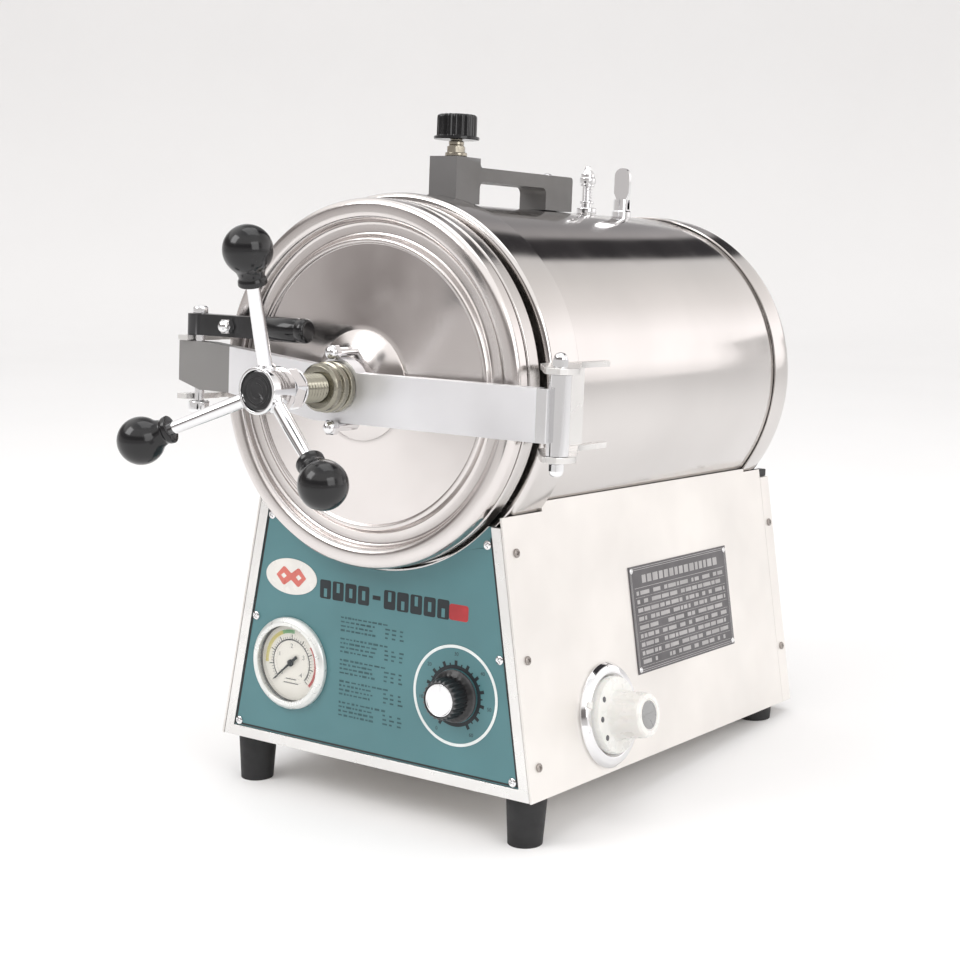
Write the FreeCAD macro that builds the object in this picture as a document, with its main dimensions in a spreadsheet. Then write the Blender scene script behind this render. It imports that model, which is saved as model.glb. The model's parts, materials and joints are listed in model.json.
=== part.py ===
"""Benchtop steam autoclave with a hand-wheel door, as separate pieces (millimetres).

The pieces are laid out in the cabinet's own frame: X to the right, Y from the front panel
towards the back, Z up, zero at the middle of the cabinet's lower front edge.  The front feet
are taller than the rear feet, so the whole cabinet leans back; LEAN carries every piece from
the cabinet's frame to the frame of the surface that the feet stand on.
"""
import FreeCAD, Part
import math
import os
import re
import Sketcher

SIZES = [
    ("gap", 0.3, "clearance between neighbouring pieces"),
    ("fit", 0.08, "radial clearance of a shaft in its bore"),
    ("sheet", 1.5, "cabinet sheet thickness"),
    ("base_half_width", 139.5, "half width of the cabinet at its lower edge"),
    ("base_top_half", 105.0, "half width of the cabinet at the height base_rise"),
    ("base_rise", 197.5, "height over which the side panels lean inwards"),
    ("base_depth", 391.0, "front face to the back edge of the side panels"),
    ("frame_thickness", 4.0, "front frame, front to back"),
    ("frame_rim", 8.0, "width of the bright rim round the control panel"),
    ("frame_drop", 7.0, "front frame top below the side panel's notch"),
    ("panel_recess", 2.2, "depth of the pocket that holds the control panel"),
    ("panel_thickness", 1.2, "control panel sheet"),
    ("pan_lip", 7.0, "height of the base pan's folded edge"),
    ("cover_depth", 15.0, "depth of the rear cover's tray"),
    ("cover_height", 188.0, "top of the rear cover"),
    ("pad_height", 6.0, "rubber block on the rear cover's upper corner"),
    ("front_foot_height", 35.0, "front foot below the cabinet"),
    ("rear_foot_height", 12.0, "rear foot below the cabinet"),
    ("foot_radius", 14.5, "foot at its top"),
    ("foot_taper", 2.5, "how much narrower the front foot is at the floor"),
    ("foot_inset_x", 17.5, "foot centre from the cabinet's lower side edge"),
    ("foot_front_y", 21.0, "front foot centre"),
    ("foot_rear_y", 372.0, "rear foot centre"),
    ("axis_height", 273.2, "chamber axis above the cabinet's lower edge"),
    ("casing_radius", 128.0, "outer radius of the casing"),
    ("casing_sheet", 1.2, "casing sheet thickness"),
    ("casing_rear", 368.0, "back edge of the casing tube"),
    ("ring_front", 14.0, "front of the casing's front ring"),
    ("ring_length", 36.0, "front ring, front to back"),
    ("ring_proud", 5.0, "front ring outside the casing"),
    ("ring_wall", 2.0, "front wall of the front ring"),
    ("cap_front", 362.0, "front edge of the rear cap"),
    ("cap_rear", 396.0, "back face of the rear cap"),
    ("cap_corner", 14.0, "rounding of the rear cap"),
    ("flange_radius", 128.0, "mouth flange of the vessel"),
    ("flange_proud", 5.0, "mouth flange in front of the front panel"),
    ("flange_thickness", 13.0, "mouth flange, front to back"),
    ("flange_chamfer", 2.0, "bevel of the mouth flange's back edge"),
    ("neck_radius", 113.0, "neck behind the mouth flange"),
    ("neck_length", 10.0, "neck, front to back"),
    ("chamber_radius", 100.0, "inside of the chamber"),
    ("vessel_wall", 3.0, "wall of the vessel"),
    ("chamber_depth", 340.0, "inside depth of the chamber"),
    ("vessel_corner", 20.0, "outer rounding at the vessel's back"),
    ("insulation_rear", 352.0, "back face of the insulation"),
    ("door_radius", 128.0, "outer radius of the door"),
    ("door_gap", 1.5, "door's back face in front of the mouth flange"),
    ("rim_crest", 12.0, "height of the door's rolled rim over its back face"),
    ("rim_width", 14.0, "width of the door's rolled rim"),
    ("trough_height", 4.5, "floor of the trough inside the rim, over the back face"),
    ("trough_outer", 108.0, "outer radius of the trough's floor"),
    ("trough_inner", 104.0, "inner radius of the trough's floor"),
    ("dish_radius", 96.5, "edge of the door's shallow dish"),
    ("dish_edge_height", 7.0, "edge of the dish over the back face"),
    ("dish_height", 14.5, "flat middle of the dish over the back face"),
    ("boss_radius", 39.0, "domed boss in the middle of the door"),
    ("boss_height", 11.5, "crest of the domed boss over the dish"),
    ("socket_depth", 5.0, "socket for the spindle in the domed boss"),
    ("gasket_inner", 104.5, "inner radius of the door gasket"),
    ("gasket_width", 13.0, "width of the door gasket"),
    ("gasket_thickness", 2.9, "thickness of the door gasket"),
    ("groove_depth", 2.0, "gasket groove in the door's back face"),
    ("arm_back", 37.0, "back face of the arm in front of the front panel"),
    ("arm_thickness", 11.0, "arm, front to back"),
    ("arm_height", 34.4, "height of the arm"),
    ("arm_drop", 7.0, "middle of the arm below the chamber axis"),
    ("arm_left", 145.0, "left end of the arm from the chamber axis"),
    ("arm_rise", 13.2, "how much higher the arm's left end stands"),
    ("arm_level", 27.0, "length of the level stretch at the left end"),
    ("arm_bevel", 20.0, "bevel at the arm's lower left corner, along the arm"),
    ("pad_radius", 19.5, "round pad of the arm round the screw bush"),
    ("hinge_x", 168.0, "hinge pin from the chamber axis"),
    ("hinge_front", 33.0, "hinge pin in front of the front panel"),
    ("hinge_pin_radius", 4.0, "hinge pin"),
    ("knuckle_radius", 7.5, "hinge knuckle of the arm"),
    ("lug_space", 52.0, "free height between the hinge lugs"),
    ("lug_thickness", 4.0, "hinge lug and latch keeper lug"),
    ("lug_rear", 78.0, "back end of the hinge lugs"),
    ("lug_strap", 6.0, "width of a lug's strap along the casing"),
    ("bracket_plate", 4.0, "upright plate of a bracket"),
    ("bush_radius", 17.5, "screw bush in front of the arm"),
    ("bush_length", 20.0, "screw bush in front of the arm, length"),
    ("bush_spigot", 14.0, "spigot of the screw bush in the arm"),
    ("spindle_radius", 10.0, "spindle"),
    ("hub_radius", 15.4, "hub of the hand wheel"),
    ("hub_front", 129.0, "front face of the hub in front of the front panel"),
    ("hub_length", 25.0, "hub, front to back"),
    ("hub_recess", 2.5, "recess for the hub's cap"),
    ("hub_cap_radius", 12.4, "cap in the front of the hub"),
    ("wheel_radius", 89.6, "ball centres from the spindle's axis"),
    ("ball_front", 148.7, "ball centres in front of the front panel"),
    ("ball_radius", 16.0, "ball knob"),
    ("ball_neck", 9.0, "neck of the ball knob, radius"),
    ("ball_neck_length", 7.0, "neck of the ball knob beyond the ball"),
    ("rod_root_radius", 4.8, "wheel rod at the hub"),
    ("rod_tip_radius", 3.9, "wheel rod at the ball"),
    ("wheel_phase", 84.9, "angle of the first rod above the horizontal, in degrees"),
    ("stud_radius", 3.0, "studs that carry the door on the arm"),
    ("nut_radius", 5.6, "acorn nut, across its corners, as a radius"),
    ("nut_height", 5.0, "hexagon of the acorn nut"),
    ("latch_x", 130.0, "latch pin from the chamber axis"),
    ("latch_pin_radius", 3.5, "latch pin"),
    ("slot_play", 0.7, "play of the latch pin in the keeper's slot"),
    ("latch_reach", 100.0, "latch pin to the end of the grip"),
    ("latch_width", 14.0, "latch lever, front to back"),
    ("latch_height", 15.0, "latch lever, top to bottom"),
    ("grip_radius", 8.6, "grip of the latch lever"),
    ("grip_length", 54.0, "grip of the latch lever"),
    ("handle_front", 66.5, "front of the carrying handle's post"),
    ("handle_post", 30.0, "post of the carrying handle, front to back"),
    ("handle_rear", 224.0, "back of the carrying handle"),
    ("handle_leg", 38.0, "rear leg of the carrying handle, front to back"),
    ("handle_half", 12.0, "half width of the carrying handle"),
    ("handle_top", 33.0, "top of the post over the casing"),
    ("handle_bridge_top", 26.5, "top of the bridge over the casing"),
    ("handle_bridge_low", 16.5, "underside of the bridge over the casing"),
    ("handle_corner", 5.0, "rounded corners of the handle's opening"),
    ("pipe_radius", 4.0, "pipes and stems from the vessel"),
    ("port_play", 0.8, "room round a pipe where it passes the casing"),
    ("exhaust_y", 82.0, "exhaust valve from the front panel"),
    ("exhaust_rise", 13.0, "underside of the exhaust knob over the post"),
    ("exhaust_knob_radius", 14.5, "exhaust knob"),
    ("exhaust_knob_height", 18.0, "exhaust knob"),
    ("exhaust_flange", 2.5, "flange under the exhaust knob"),
    ("safety_y", 266.0, "safety valve from the front panel"),
    ("safety_height", 38.0, "safety valve over the casing"),
    ("safety_radius", 5.6, "body of the safety valve"),
    ("vent_y", 322.0, "vent valve from the front panel"),
    ("vent_height", 40.0, "top of the vent lever over the casing"),
    ("vent_half", 7.0, "half width of the vent lever"),
    ("vent_plate", 3.0, "thickness of the vent lever"),
    ("collar_radius", 8.0, "collar of a valve on the casing"),
    ("collar_height", 5.0, "collar of a valve on the casing"),
    ("gauge_x", 74.5, "gauge left of the middle"),
    ("gauge_z", 63.4, "gauge above the lower edge"),
    ("gauge_case_radius", 29.3, "gauge case"),
    ("gauge_bezel_radius", 34.0, "gauge bezel"),
    ("gauge_bezel_height", 6.0, "gauge bezel in front of the control panel"),
    ("gauge_depth", 28.0, "gauge case behind the control panel"),
    ("timer_x", 73.0, "timer right of the middle"),
    ("timer_z", 63.5, "timer above the lower edge"),
    ("timer_scale_radius", 35.5, "printed scale round the timer knob"),
    ("timer_knob_radius", 18.5, "skirt of the timer knob"),
    ("timer_grip_radius", 14.5, "grip of the timer knob"),
    ("timer_knob_height", 19.0, "timer knob"),
    ("shaft_radius", 3.0, "shaft of the timer and of the thermostat"),
    ("dial_y", 108.0, "thermostat dial from the front panel"),
    ("dial_up", 41.0, "thermostat dial up the side panel"),
    ("dial_bezel_radius", 38.0, "bright bezel of the thermostat dial"),
    ("dial_bezel_inner", 28.5, "opening of that bezel"),
    ("dial_bezel_height", 5.5, "that bezel over the side panel"),
    ("dial_radius", 28.0, "skirt of the thermostat dial"),
    ("dial_skirt", 10.0, "top of the skirt over the side panel"),
    ("dial_boss_radius", 17.0, "boss of the thermostat dial"),
    ("dial_height", 35.0, "end of the boss over the side panel"),
    ("plate_y", 235.5, "middle of the rating plate from the front panel"),
    ("plate_up", 101.5, "middle of the rating plate up the side panel"),
    ("plate_length", 156.0, "rating plate"),
    ("plate_width", 80.0, "rating plate"),
    ("plate_thickness", 0.8, "rating plate"),
    ("screw_head_radius", 3.1, "screw head"),
    ("screw_head_height", 1.8, "screw head"),
    ("screw_radius", 1.5, "screw shank"),
    ("screw_length", 5.0, "screw shank"),
    ("screw_hole_radius", 1.9, "screw hole"),
    ("rack_level", 77.0, "rack's floor below the chamber axis"),
    ("rack_sheet", 1.5, "rack sheet"),
    ("rack_half", 57.0, "half width of the rack"),
    ("rack_front", 12.0, "front of the rack behind the chamber's mouth"),
    ("rack_length", 300.0, "rack, front to back"),
    ("rack_ledge", 8.0, "width of a rack ledge"),
    ("tray_height", 14.0, "instrument tray"),
    ("lower_ledge", 58.0, "lower ledge below the chamber axis"),
    ("upper_ledge", 8.0, "upper ledge below the chamber axis"),
    ("heater_radius", 4.5, "heater tube"),
    ("heater_level", 86.0, "heater below the chamber axis"),
    ("heater_half", 34.0, "half distance between the heater's runs"),
    ("inlet_rise", 52.0, "middle of the power inlet above the lower edge"),
    ("inlet_width", 50.0, "power inlet flange"),
    ("inlet_height", 30.0, "power inlet flange"),
    ("inlet_depth", 24.0, "power inlet behind its flange"),
]
NOTCH_LENGTH = "(ring_front + ring_length + gap)"
SLOPE = "((base_half_width - base_top_half) / base_rise)"
SLANT = "(sqrt(base_rise^2 + (base_half_width - base_top_half)^2) / base_rise)"
INNER_FOOT = f"(base_half_width - sheet * {SLANT})"
CASING_TOP = "(axis_height + casing_radius + gap)"
VESSEL_TOP = "(axis_height + chamber_radius + vessel_wall + gap)"
RING_RADIUS = "(casing_radius + ring_proud)"
CAP_RADIUS = "(casing_radius + gap + sheet)"
DOOR_BACK = "(flange_proud + door_gap)"
BOSS_BASE = f"({DOOR_BACK} + dish_height)"
ARM_FRONT = "(arm_back + arm_thickness)"
ARM_MIDDLE = "(axis_height - arm_drop)"
ARM_LEFT_TOP = f"({ARM_MIDDLE} + arm_rise + arm_height / 2)"
HUB_BACK = "(hub_front - hub_length)"
STUD_TOP = "(axis_height + bush_radius + gap + nut_radius)"
STUD_LOW = f"({ARM_MIDDLE} - arm_height / 2 - gap - stud_radius)"
PANEL_FACE = "(panel_recess - panel_thickness)"
KEEPER_LOW = f"({ARM_LEFT_TOP} - arm_height - gap - 7)"
KEEPER_TOP = f"({ARM_LEFT_TOP} + gap)"

ALIASES = {alias for alias, number, note in SIZES}

doc = FreeCAD.newDocument("benchtop_autoclave")
sheet = doc.addObject("Spreadsheet::Sheet", "sizes")
for row, (alias, number, note) in enumerate(SIZES, 1):
    sheet.set(f"A{row}", note)
    sheet.set(f"B{row}", str(number))
    sheet.setAlias(f"B{row}", alias)
doc.recompute()


def bound(text):
    """The expression with every alias written as a cell of the sheet."""
    return re.sub(r"[a-z][a-z_0-9]*", lambda word: "sizes." + word[0] if word[0] in ALIASES else word[0],
                  text)


def number(text):
    """The present value of an expression of the sheet's aliases."""
    result = sheet.evalExpression(bound(text))
    return float(getattr(result, "Value", result))


def spot(x="0", y="0", z="0", turn=FreeCAD.Rotation()):
    """A place in the cabinet's frame; x, y and z are expressions."""
    return FreeCAD.Placement(FreeCAD.Vector(number(x), number(y), number(z)), turn)


AXIS_X = FreeCAD.Vector(1, 0, 0)
AXIS_Y = FreeCAD.Vector(0, 1, 0)
AXIS_Z = FreeCAD.Vector(0, 0, 1)
UPRIGHT = FreeCAD.Rotation()
BACKWARDS = FreeCAD.Rotation(AXIS_X, -90)
FORWARDS = FreeCAD.Rotation(AXIS_X, 90)
DOWNWARDS = FreeCAD.Rotation(AXIS_X, 180)
SLOPE_ANGLE = math.degrees(math.atan(number(SLOPE)))
RIGHT_SIDE = FreeCAD.Rotation(AXIS_Y, 90 - SLOPE_ANGLE)
LEFT_SIDE = FreeCAD.Rotation(AXIS_Y, SLOPE_ANGLE - 90)

LEAN_ANGLE = math.atan2(number("front_foot_height - rear_foot_height"),
                        number("foot_rear_y - foot_front_y"))
LIFT = number("front_foot_height") * math.cos(LEAN_ANGLE) + number("foot_front_y") * math.sin(LEAN_ANGLE)
RIGHT_REACH = number("hinge_x + knuckle_radius + 1.5")
FRONT_REACH = (number("ball_front + ball_radius") * math.cos(LEAN_ANGLE)
               - number("axis_height") * math.sin(LEAN_ANGLE))
REAR_REACH = (number("cap_rear") * math.cos(LEAN_ANGLE)
              + number("axis_height + casing_radius - cap_corner") * math.sin(LEAN_ANGLE))
LEAN = FreeCAD.Placement(
    FreeCAD.Vector((number("arm_left") - RIGHT_REACH) / 2, (FRONT_REACH - REAR_REACH) / 2, LIFT),
    FreeCAD.Rotation(AXIS_X, -math.degrees(LEAN_ANGLE)))


def on_side(turn, along, up, proud="0"):
    """A place on a side panel's outer face: back from the front, up the slope, proud of it."""
    sign = 1 if turn == RIGHT_SIDE else -1
    slope = math.radians(SLOPE_ANGLE)
    x = number("base_half_width") - number(up) * math.sin(slope) + number(proud) * math.cos(slope)
    z = number(up) * math.cos(slope) + number(proud) * math.sin(slope)
    return FreeCAD.Placement(FreeCAD.Vector(sign * x, number(along), z), turn)


def seat(piece, label, place):
    """Names a finished piece and puts it in its place on the leaning cabinet."""
    piece.Label = label
    piece.Placement = LEAN.multiply(place)
    PIECES.append(piece)
    return piece


PIECES = []


def primitive(kind, place, **sizes):
    """A Part primitive with its sizes bound to the sheet."""
    shape = doc.addObject("Part::" + kind, kind)
    for name, text in sizes.items():
        shape.setExpression(name, bound(text))
    shape.Placement = place
    return shape


def cylinder(radius, height, place):
    return primitive("Cylinder", place, Radius=radius, Height=height)


def box(length, width, height, place):
    return primitive("Box", place, Length=length, Width=width, Height=height)


def fuse(*shapes):
    joined = doc.addObject("Part::MultiFuse", "Joined")
    joined.Shapes = list(shapes)
    return joined


def cut(base, *tools):
    for tool in tools:
        result = doc.addObject("Part::Cut", "Cut")
        result.Base = base
        result.Tool = tool
        base = result
    return base


def copies(master, places):
    """Separate copies of one finished piece, as one compound in the cabinet's frame."""
    doc.recompute()
    shapes = []
    for place in places:
        shape = master.Shape.copy()
        shape.Placement = place.multiply(shape.Placement)
        shapes.append(shape)
    group = doc.addObject("Part::Feature", "Copies")
    group.Shape = Part.makeCompound(shapes)
    return group


def origin_part(body, role):
    return next(part for part in body.Origin.OriginFeatures if part.Role == role)


def fix_point(sketch, geometry, position, x, y):
    """Holds a point of the sketch at (x, y), both bound to the sheet."""
    for kind, text in (("DistanceX", x), ("DistanceY", y)):
        index = sketch.addConstraint(Sketcher.Constraint(kind, -1, 1, geometry, position, number(text)))
        sketch.setExpression(f"Constraints[{index}]", bound(text))


def draw_outline(sketch, corners):
    """A closed outline through corners (x, y) or (x, y, radius, side).

    A corner with a radius is reached by an arc that bulges to the left (side 1) or to the
    right (side -1) of the way there.
    """
    ends = []
    for start, corner in zip(corners[-1:] + corners[:-1], corners):
        first = FreeCAD.Vector(number(start[0]), number(start[1]), 0)
        last = FreeCAD.Vector(number(corner[0]), number(corner[1]), 0)
        if len(corner) == 2:
            edge = sketch.addGeometry(Part.LineSegment(first, last), False)
            ends.append((edge, 1, 2))
            continue
        radius = number(corner[2])
        side = corner[3]
        chord = last - first
        left = FreeCAD.Vector(-chord.y, chord.x, 0).normalize() * side
        centre = (first + last) * 0.5 - left * math.sqrt(radius ** 2 - (chord.Length / 2) ** 2)
        angles = [math.atan2(point.y - centre.y, point.x - centre.x) for point in (first, last)]
        if side > 0:
            angles.reverse()
        circle = Part.Circle(centre, AXIS_Z, radius)
        edge = sketch.addGeometry(Part.ArcOfCircle(circle, *angles), False)
        ends.append((edge, 2, 1) if side > 0 else (edge, 1, 2))
        index = sketch.addConstraint(Sketcher.Constraint("Radius", edge, radius))
        sketch.setExpression(f"Constraints[{index}]", bound(corner[2]))
    followers = ends[1:] + ends[:1]
    for (edge, start, end), (following, next_start, next_end), corner in zip(ends, followers, corners):
        sketch.addConstraint(Sketcher.Constraint("Coincident", edge, end, following, next_start))
        fix_point(sketch, edge, end, corner[0], corner[1])


def draw_circle(sketch, x, y, radius):
    centre = FreeCAD.Vector(number(x), number(y), 0)
    edge = sketch.addGeometry(Part.Circle(centre, AXIS_Z, number(radius)), False)
    index = sketch.addConstraint(Sketcher.Constraint("Radius", edge, number(radius)))
    sketch.setExpression(f"Constraints[{index}]", bound(radius))
    fix_point(sketch, edge, 3, x, y)


def new_sketch(body, plane, offset="0"):
    sketch = body.newObject("Sketcher::SketchObject", "Sketch")
    sketch.AttachmentSupport = [(origin_part(body, plane), "")]
    sketch.MapMode = "FlatFace"
    sketch.setExpression("AttachmentOffset.Base.z", bound(offset))
    return sketch


def turned(corners):
    """A body turned round its own Z axis from corners (radius, height)."""
    body = doc.addObject("PartDesign::Body", "Body")
    sketch = new_sketch(body, "XZ_Plane")
    draw_outline(sketch, corners)
    feature = body.newObject("PartDesign::Revolution", "Revolution")
    feature.Profile = sketch
    feature.ReferenceAxis = (origin_part(body, "Z_Axis"), [""])
    feature.Angle = 360
    return body


def plate(corners, thickness, holes=()):
    """A flat body with its outline in its own XY plane; holes are (x, y, radius)."""
    body = doc.addObject("PartDesign::Body", "Body")
    sketch = new_sketch(body, "XY_Plane")
    draw_outline(sketch, corners)
    for x, y, radius in holes:
        draw_circle(sketch, x, y, radius)
    feature = body.newObject("PartDesign::Pad", "Pad")
    feature.Profile = sketch
    feature.setExpression("Length", bound(thickness))
    return body


def pocket(body, corners, top, depth, holes=()):
    """Sinks an outline, or circles, into a flat body from the height top."""
    sketch = new_sketch(body, "XY_Plane", top)
    if corners:
        draw_outline(sketch, corners)
    for x, y, radius in holes:
        draw_circle(sketch, x, y, radius)
    feature = body.newObject("PartDesign::Pocket", "Pocket")
    feature.Profile = sketch
    feature.setExpression("Length", bound(depth))
    return body


def dome_radius(reach, rise):
    """The radius of a dome that stands rise high over a circle of radius reach."""
    return f"((({reach})^2 + ({rise})^2) / (2 * ({rise})))"


def tube(inner, outer, length):
    return turned([(inner, "0"), (outer, "0"), (outer, length), (inner, length)])


def meeting_height(radius):
    """Height at which the side panel's inner face comes within radius of the chamber axis."""
    across = f"({INNER_FOOT} * {SLOPE} + axis_height)"
    whole = f"({INNER_FOOT}^2 + axis_height^2 - ({radius})^2)"
    return f"(({across} - sqrt({across}^2 - (1 + {SLOPE}^2) * {whole})) / (1 + {SLOPE}^2))"


def trapezium(inset, low, top):
    """Corners of a cabinet cross-section, inset from the side panels' outer faces."""
    narrow = f"base_half_width - {inset} - ({low}) * {SLOPE}"
    upper = f"base_half_width - {inset} - ({top}) * {SLOPE}"
    return [(f"-({narrow})", low), (narrow, low), (upper, top), (f"-({upper})", top)]


# ---------------------------------------------------------------- cabinet
PANEL_TOP = meeting_height("casing_radius + gap")
NOTCH_TOP = meeting_height(f"{RING_RADIUS} + gap")
REAR_TOP = meeting_height(f"{CAP_RADIUS} + gap")
FRAME_TOP = f"({NOTCH_TOP} - frame_drop)"


def base_pan():
    width = f"(2 * (base_half_width - pan_lip * {SLOPE} - sheet * {SLANT} - gap))"
    front = "(frame_thickness + gap)"
    depth = f"(base_depth - gap - {front})"
    outer = box(width, depth, "pan_lip", spot(f"-{width} / 2", front, "0"))
    inner = box(f"{width} - 2 * sheet", f"{depth} - 2 * sheet", "pan_lip",
                spot(f"sheet - {width} / 2", f"{front} + sheet", "sheet"))
    seat(cut(outer, inner), "base_pan", spot())


def side_panels():
    up = f"{PANEL_TOP} * {SLANT}"
    notch_up = f"{NOTCH_TOP} * {SLANT}"
    rear_up = f"{REAR_TOP} * {SLANT}"
    side_screws = [(place, f"{height} * {SLANT}") for place, height in FRONT_SCREWS]
    for name, turn, sign in (("right", RIGHT_SIDE, "-"), ("left", LEFT_SIDE, "")):
        corners = [("0", "0"), ("0", "base_depth"), (f"{sign}{rear_up}", "base_depth"),
                   (f"{sign}{rear_up}", "cap_front - gap"), (f"{sign}{up}", "cap_front - gap"),
                   (f"{sign}{up}", NOTCH_LENGTH), (f"{sign}{notch_up}", NOTCH_LENGTH),
                   (f"{sign}{notch_up}", "0")]
        holes = [(f"{sign}{height}", place, "screw_hole_radius") for place, height in side_screws]
        if name == "right":
            holes.append(("-dial_up", "dial_y", "shaft_radius + port_play"))
        panel = plate(corners, "sheet", holes)
        seat(panel, f"side_panel_{name}", on_side(turn, "0", "0", "-sheet"))


FRONT_SCREWS = [("13", "22"), ("13", "94"), ("13", "166")]
COVER_SCREW_HEIGHTS = ["46", "150"]
PANEL_SCREW_HEIGHTS = ["12", "94", "171"]


def panel_screw_x(height):
    return f"(base_half_width - ({height}) * {SLOPE} - sheet * {SLANT} - frame_rim - gap - 4.5)"


def front_panel():
    wall = f"(sheet * {SLANT} + gap)"
    holes = [("-gauge_x", "gauge_z", "gauge_case_radius + gap"),
             ("timer_x", "timer_z", "shaft_radius + port_play")]
    for height in PANEL_SCREW_HEIGHTS:
        for sign in ("", "-"):
            holes.append((sign + panel_screw_x(height), height, "screw_hole_radius"))
    frame = plate(trapezium(wall, "0", FRAME_TOP), "frame_thickness", holes)
    rim = f"({wall} + frame_rim)"
    pocket(frame, trapezium(rim, "frame_rim", f"({FRAME_TOP} + frame_rim)"), "frame_thickness",
           "panel_recess")
    pocket(frame, None, "frame_thickness", "frame_thickness",
           [("0", "axis_height", "flange_radius + 6 * gap")])
    seat(frame, "front_frame", spot("0", "frame_thickness", "0", FORWARDS))
    panel = plate(trapezium(f"({rim} + gap)", "(frame_rim + gap)", FRAME_TOP), "panel_thickness", holes)
    pocket(panel, None, "panel_thickness", "panel_thickness",
           [("0", "axis_height", "flange_radius + 10 * gap")])
    seat(panel, "control_panel", spot("0", "panel_recess", "0", FORWARDS))


def screw():
    """A pan-head screw standing on its own XY plane with its shank below it."""
    round_edge = "(screw_head_height * 0.6)"
    return turned([("0", "-screw_length"), ("screw_radius", "-screw_length"), ("screw_radius", "0"),
                   ("screw_head_radius", "0"), ("screw_head_radius", f"screw_head_height - {round_edge}"),
                   (f"screw_head_radius - {round_edge}", "screw_head_height", round_edge, -1),
                   ("0", "screw_head_height")])


def screws():
    master = screw()
    places = []
    for height in PANEL_SCREW_HEIGHTS:
        for sign in ("", "-"):
            places.append(spot(sign + panel_screw_x(height), PANEL_FACE, height, FORWARDS))
    seat(copies(master, places), "panel_screws", spot())
    places = []
    for turn in (RIGHT_SIDE, LEFT_SIDE):
        for along, height in FRONT_SCREWS:
            places.append(on_side(turn, along, f"{height} * {SLANT}"))
        for height in COVER_SCREW_HEIGHTS:
            places.append(on_side(turn, "base_depth + gap + cover_depth / 2", f"{height} * {SLANT}"))
    seat(copies(master, places), "side_screws", spot())


def rear_cover():
    shell = plate(trapezium("0", "0", "cover_height"), "cover_depth")
    pocket(shell, trapezium("sheet", "sheet", "cover_height - sheet"), "cover_depth", "cover_depth - sheet")
    pocket(shell, None, "cover_depth", "cover_depth", [("0", "axis_height", f"{CAP_RADIUS} + gap")])
    inlet = box("inlet_width - 4", "inlet_height - 4", "3 * sheet",
                spot("2 - inlet_width / 2", "inlet_rise + 2 - inlet_height / 2", "-sheet"))
    holes = []
    for turn in (RIGHT_SIDE, LEFT_SIDE):
        for height in COVER_SCREW_HEIGHTS:
            place = on_side(turn, "base_depth + gap + cover_depth / 2", f"{height} * {SLANT}", "-4 * sheet")
            holes.append(cylinder("screw_hole_radius", "6 * sheet", place))
    local = spot("0", "base_depth + gap + cover_depth", "0", FORWARDS)
    outer = fuse(*holes)
    outer.Placement = local.inverse()
    seat(cut(shell, inlet, outer), "rear_cover", local)


def cradle_pads():
    """Rubber blocks on the rear cover's upper corners, under the rear cap."""
    inner = f"(sqrt(({CAP_RADIUS} + gap)^2 - (axis_height - cover_height)^2) + gap)"
    outer = f"(base_half_width - (cover_height + pad_height) * {SLOPE} - gap)"
    pads = [box(f"{outer} - {inner}", "cover_depth - 2", "pad_height",
                spot(x, "base_depth + gap + 1", "cover_height + gap")) for x in (inner, f"-{outer}")]
    seat(fuse(*pads), "cradle_pads", spot())


def power_inlet():
    flange = box("inlet_width", "inlet_height", "2.5", spot("-inlet_width / 2", "-inlet_height / 2", "0"))
    body = box("inlet_width - 4 - 2 * gap", "inlet_height - 4 - 2 * gap", "inlet_depth",
               spot("2 + gap - inlet_width / 2", "2 + gap - inlet_height / 2", "-inlet_depth"))
    socket = box("inlet_width - 22", "inlet_height - 12", "inlet_depth - 4",
                 spot("11 - inlet_width / 2", "6 - inlet_height / 2", "2.5 + 4 - inlet_depth"))
    place = spot("0", "base_depth + gap + cover_depth", "inlet_rise", BACKWARDS)
    seat(cut(fuse(flange, body), socket), "power_inlet", place)


def feet():
    """Rubber feet, cut level where they meet the surface that the autoclave stands on."""
    corner = FreeCAD.Vector(-number("base_depth"), -number("base_depth"), -number("front_foot_height"))
    floor = box("2 * base_depth", "2 * base_depth", "front_foot_height",
                LEAN.inverse().multiply(FreeCAD.Placement(corner, UPRIGHT)))
    for name, y, height, taper in (("front_feet", "foot_front_y", "front_foot_height", "foot_taper"),
                                   ("rear_feet", "foot_rear_y", "rear_foot_height", "foot_taper / 3")):
        cones = []
        for sign in ("", "-"):
            place = spot(f"{sign}(base_half_width - foot_inset_x)", y, f"-{height} - 3")
            cones.append(primitive("Cone", place, Radius1=f"foot_radius - {taper}", Radius2="foot_radius",
                                   Height=f"{height} + 3"))
        seat(cut(fuse(*cones), floor), name, spot())


# ---------------------------------------------------------------- casing and vessel
def ports(names, radius):
    """Upright holes through whatever lies over the vessel, in a shape turned round its own Z axis."""
    tools = []
    for name in names:
        tools.append(cylinder(radius, "casing_radius", spot("0", "0", name, FORWARDS)))
    return tools


PORTS = ["exhaust_y", "safety_y", "vent_y"]


def along_chamber(y):
    return spot("0", y, "axis_height", BACKWARDS)


def drilled(piece, start):
    """The piece, whose own Z starts at the depth start, with the three ports drilled."""
    return cut(piece, *ports([f"{name} - ({start})" for name in PORTS], "pipe_radius + port_play"))


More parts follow.
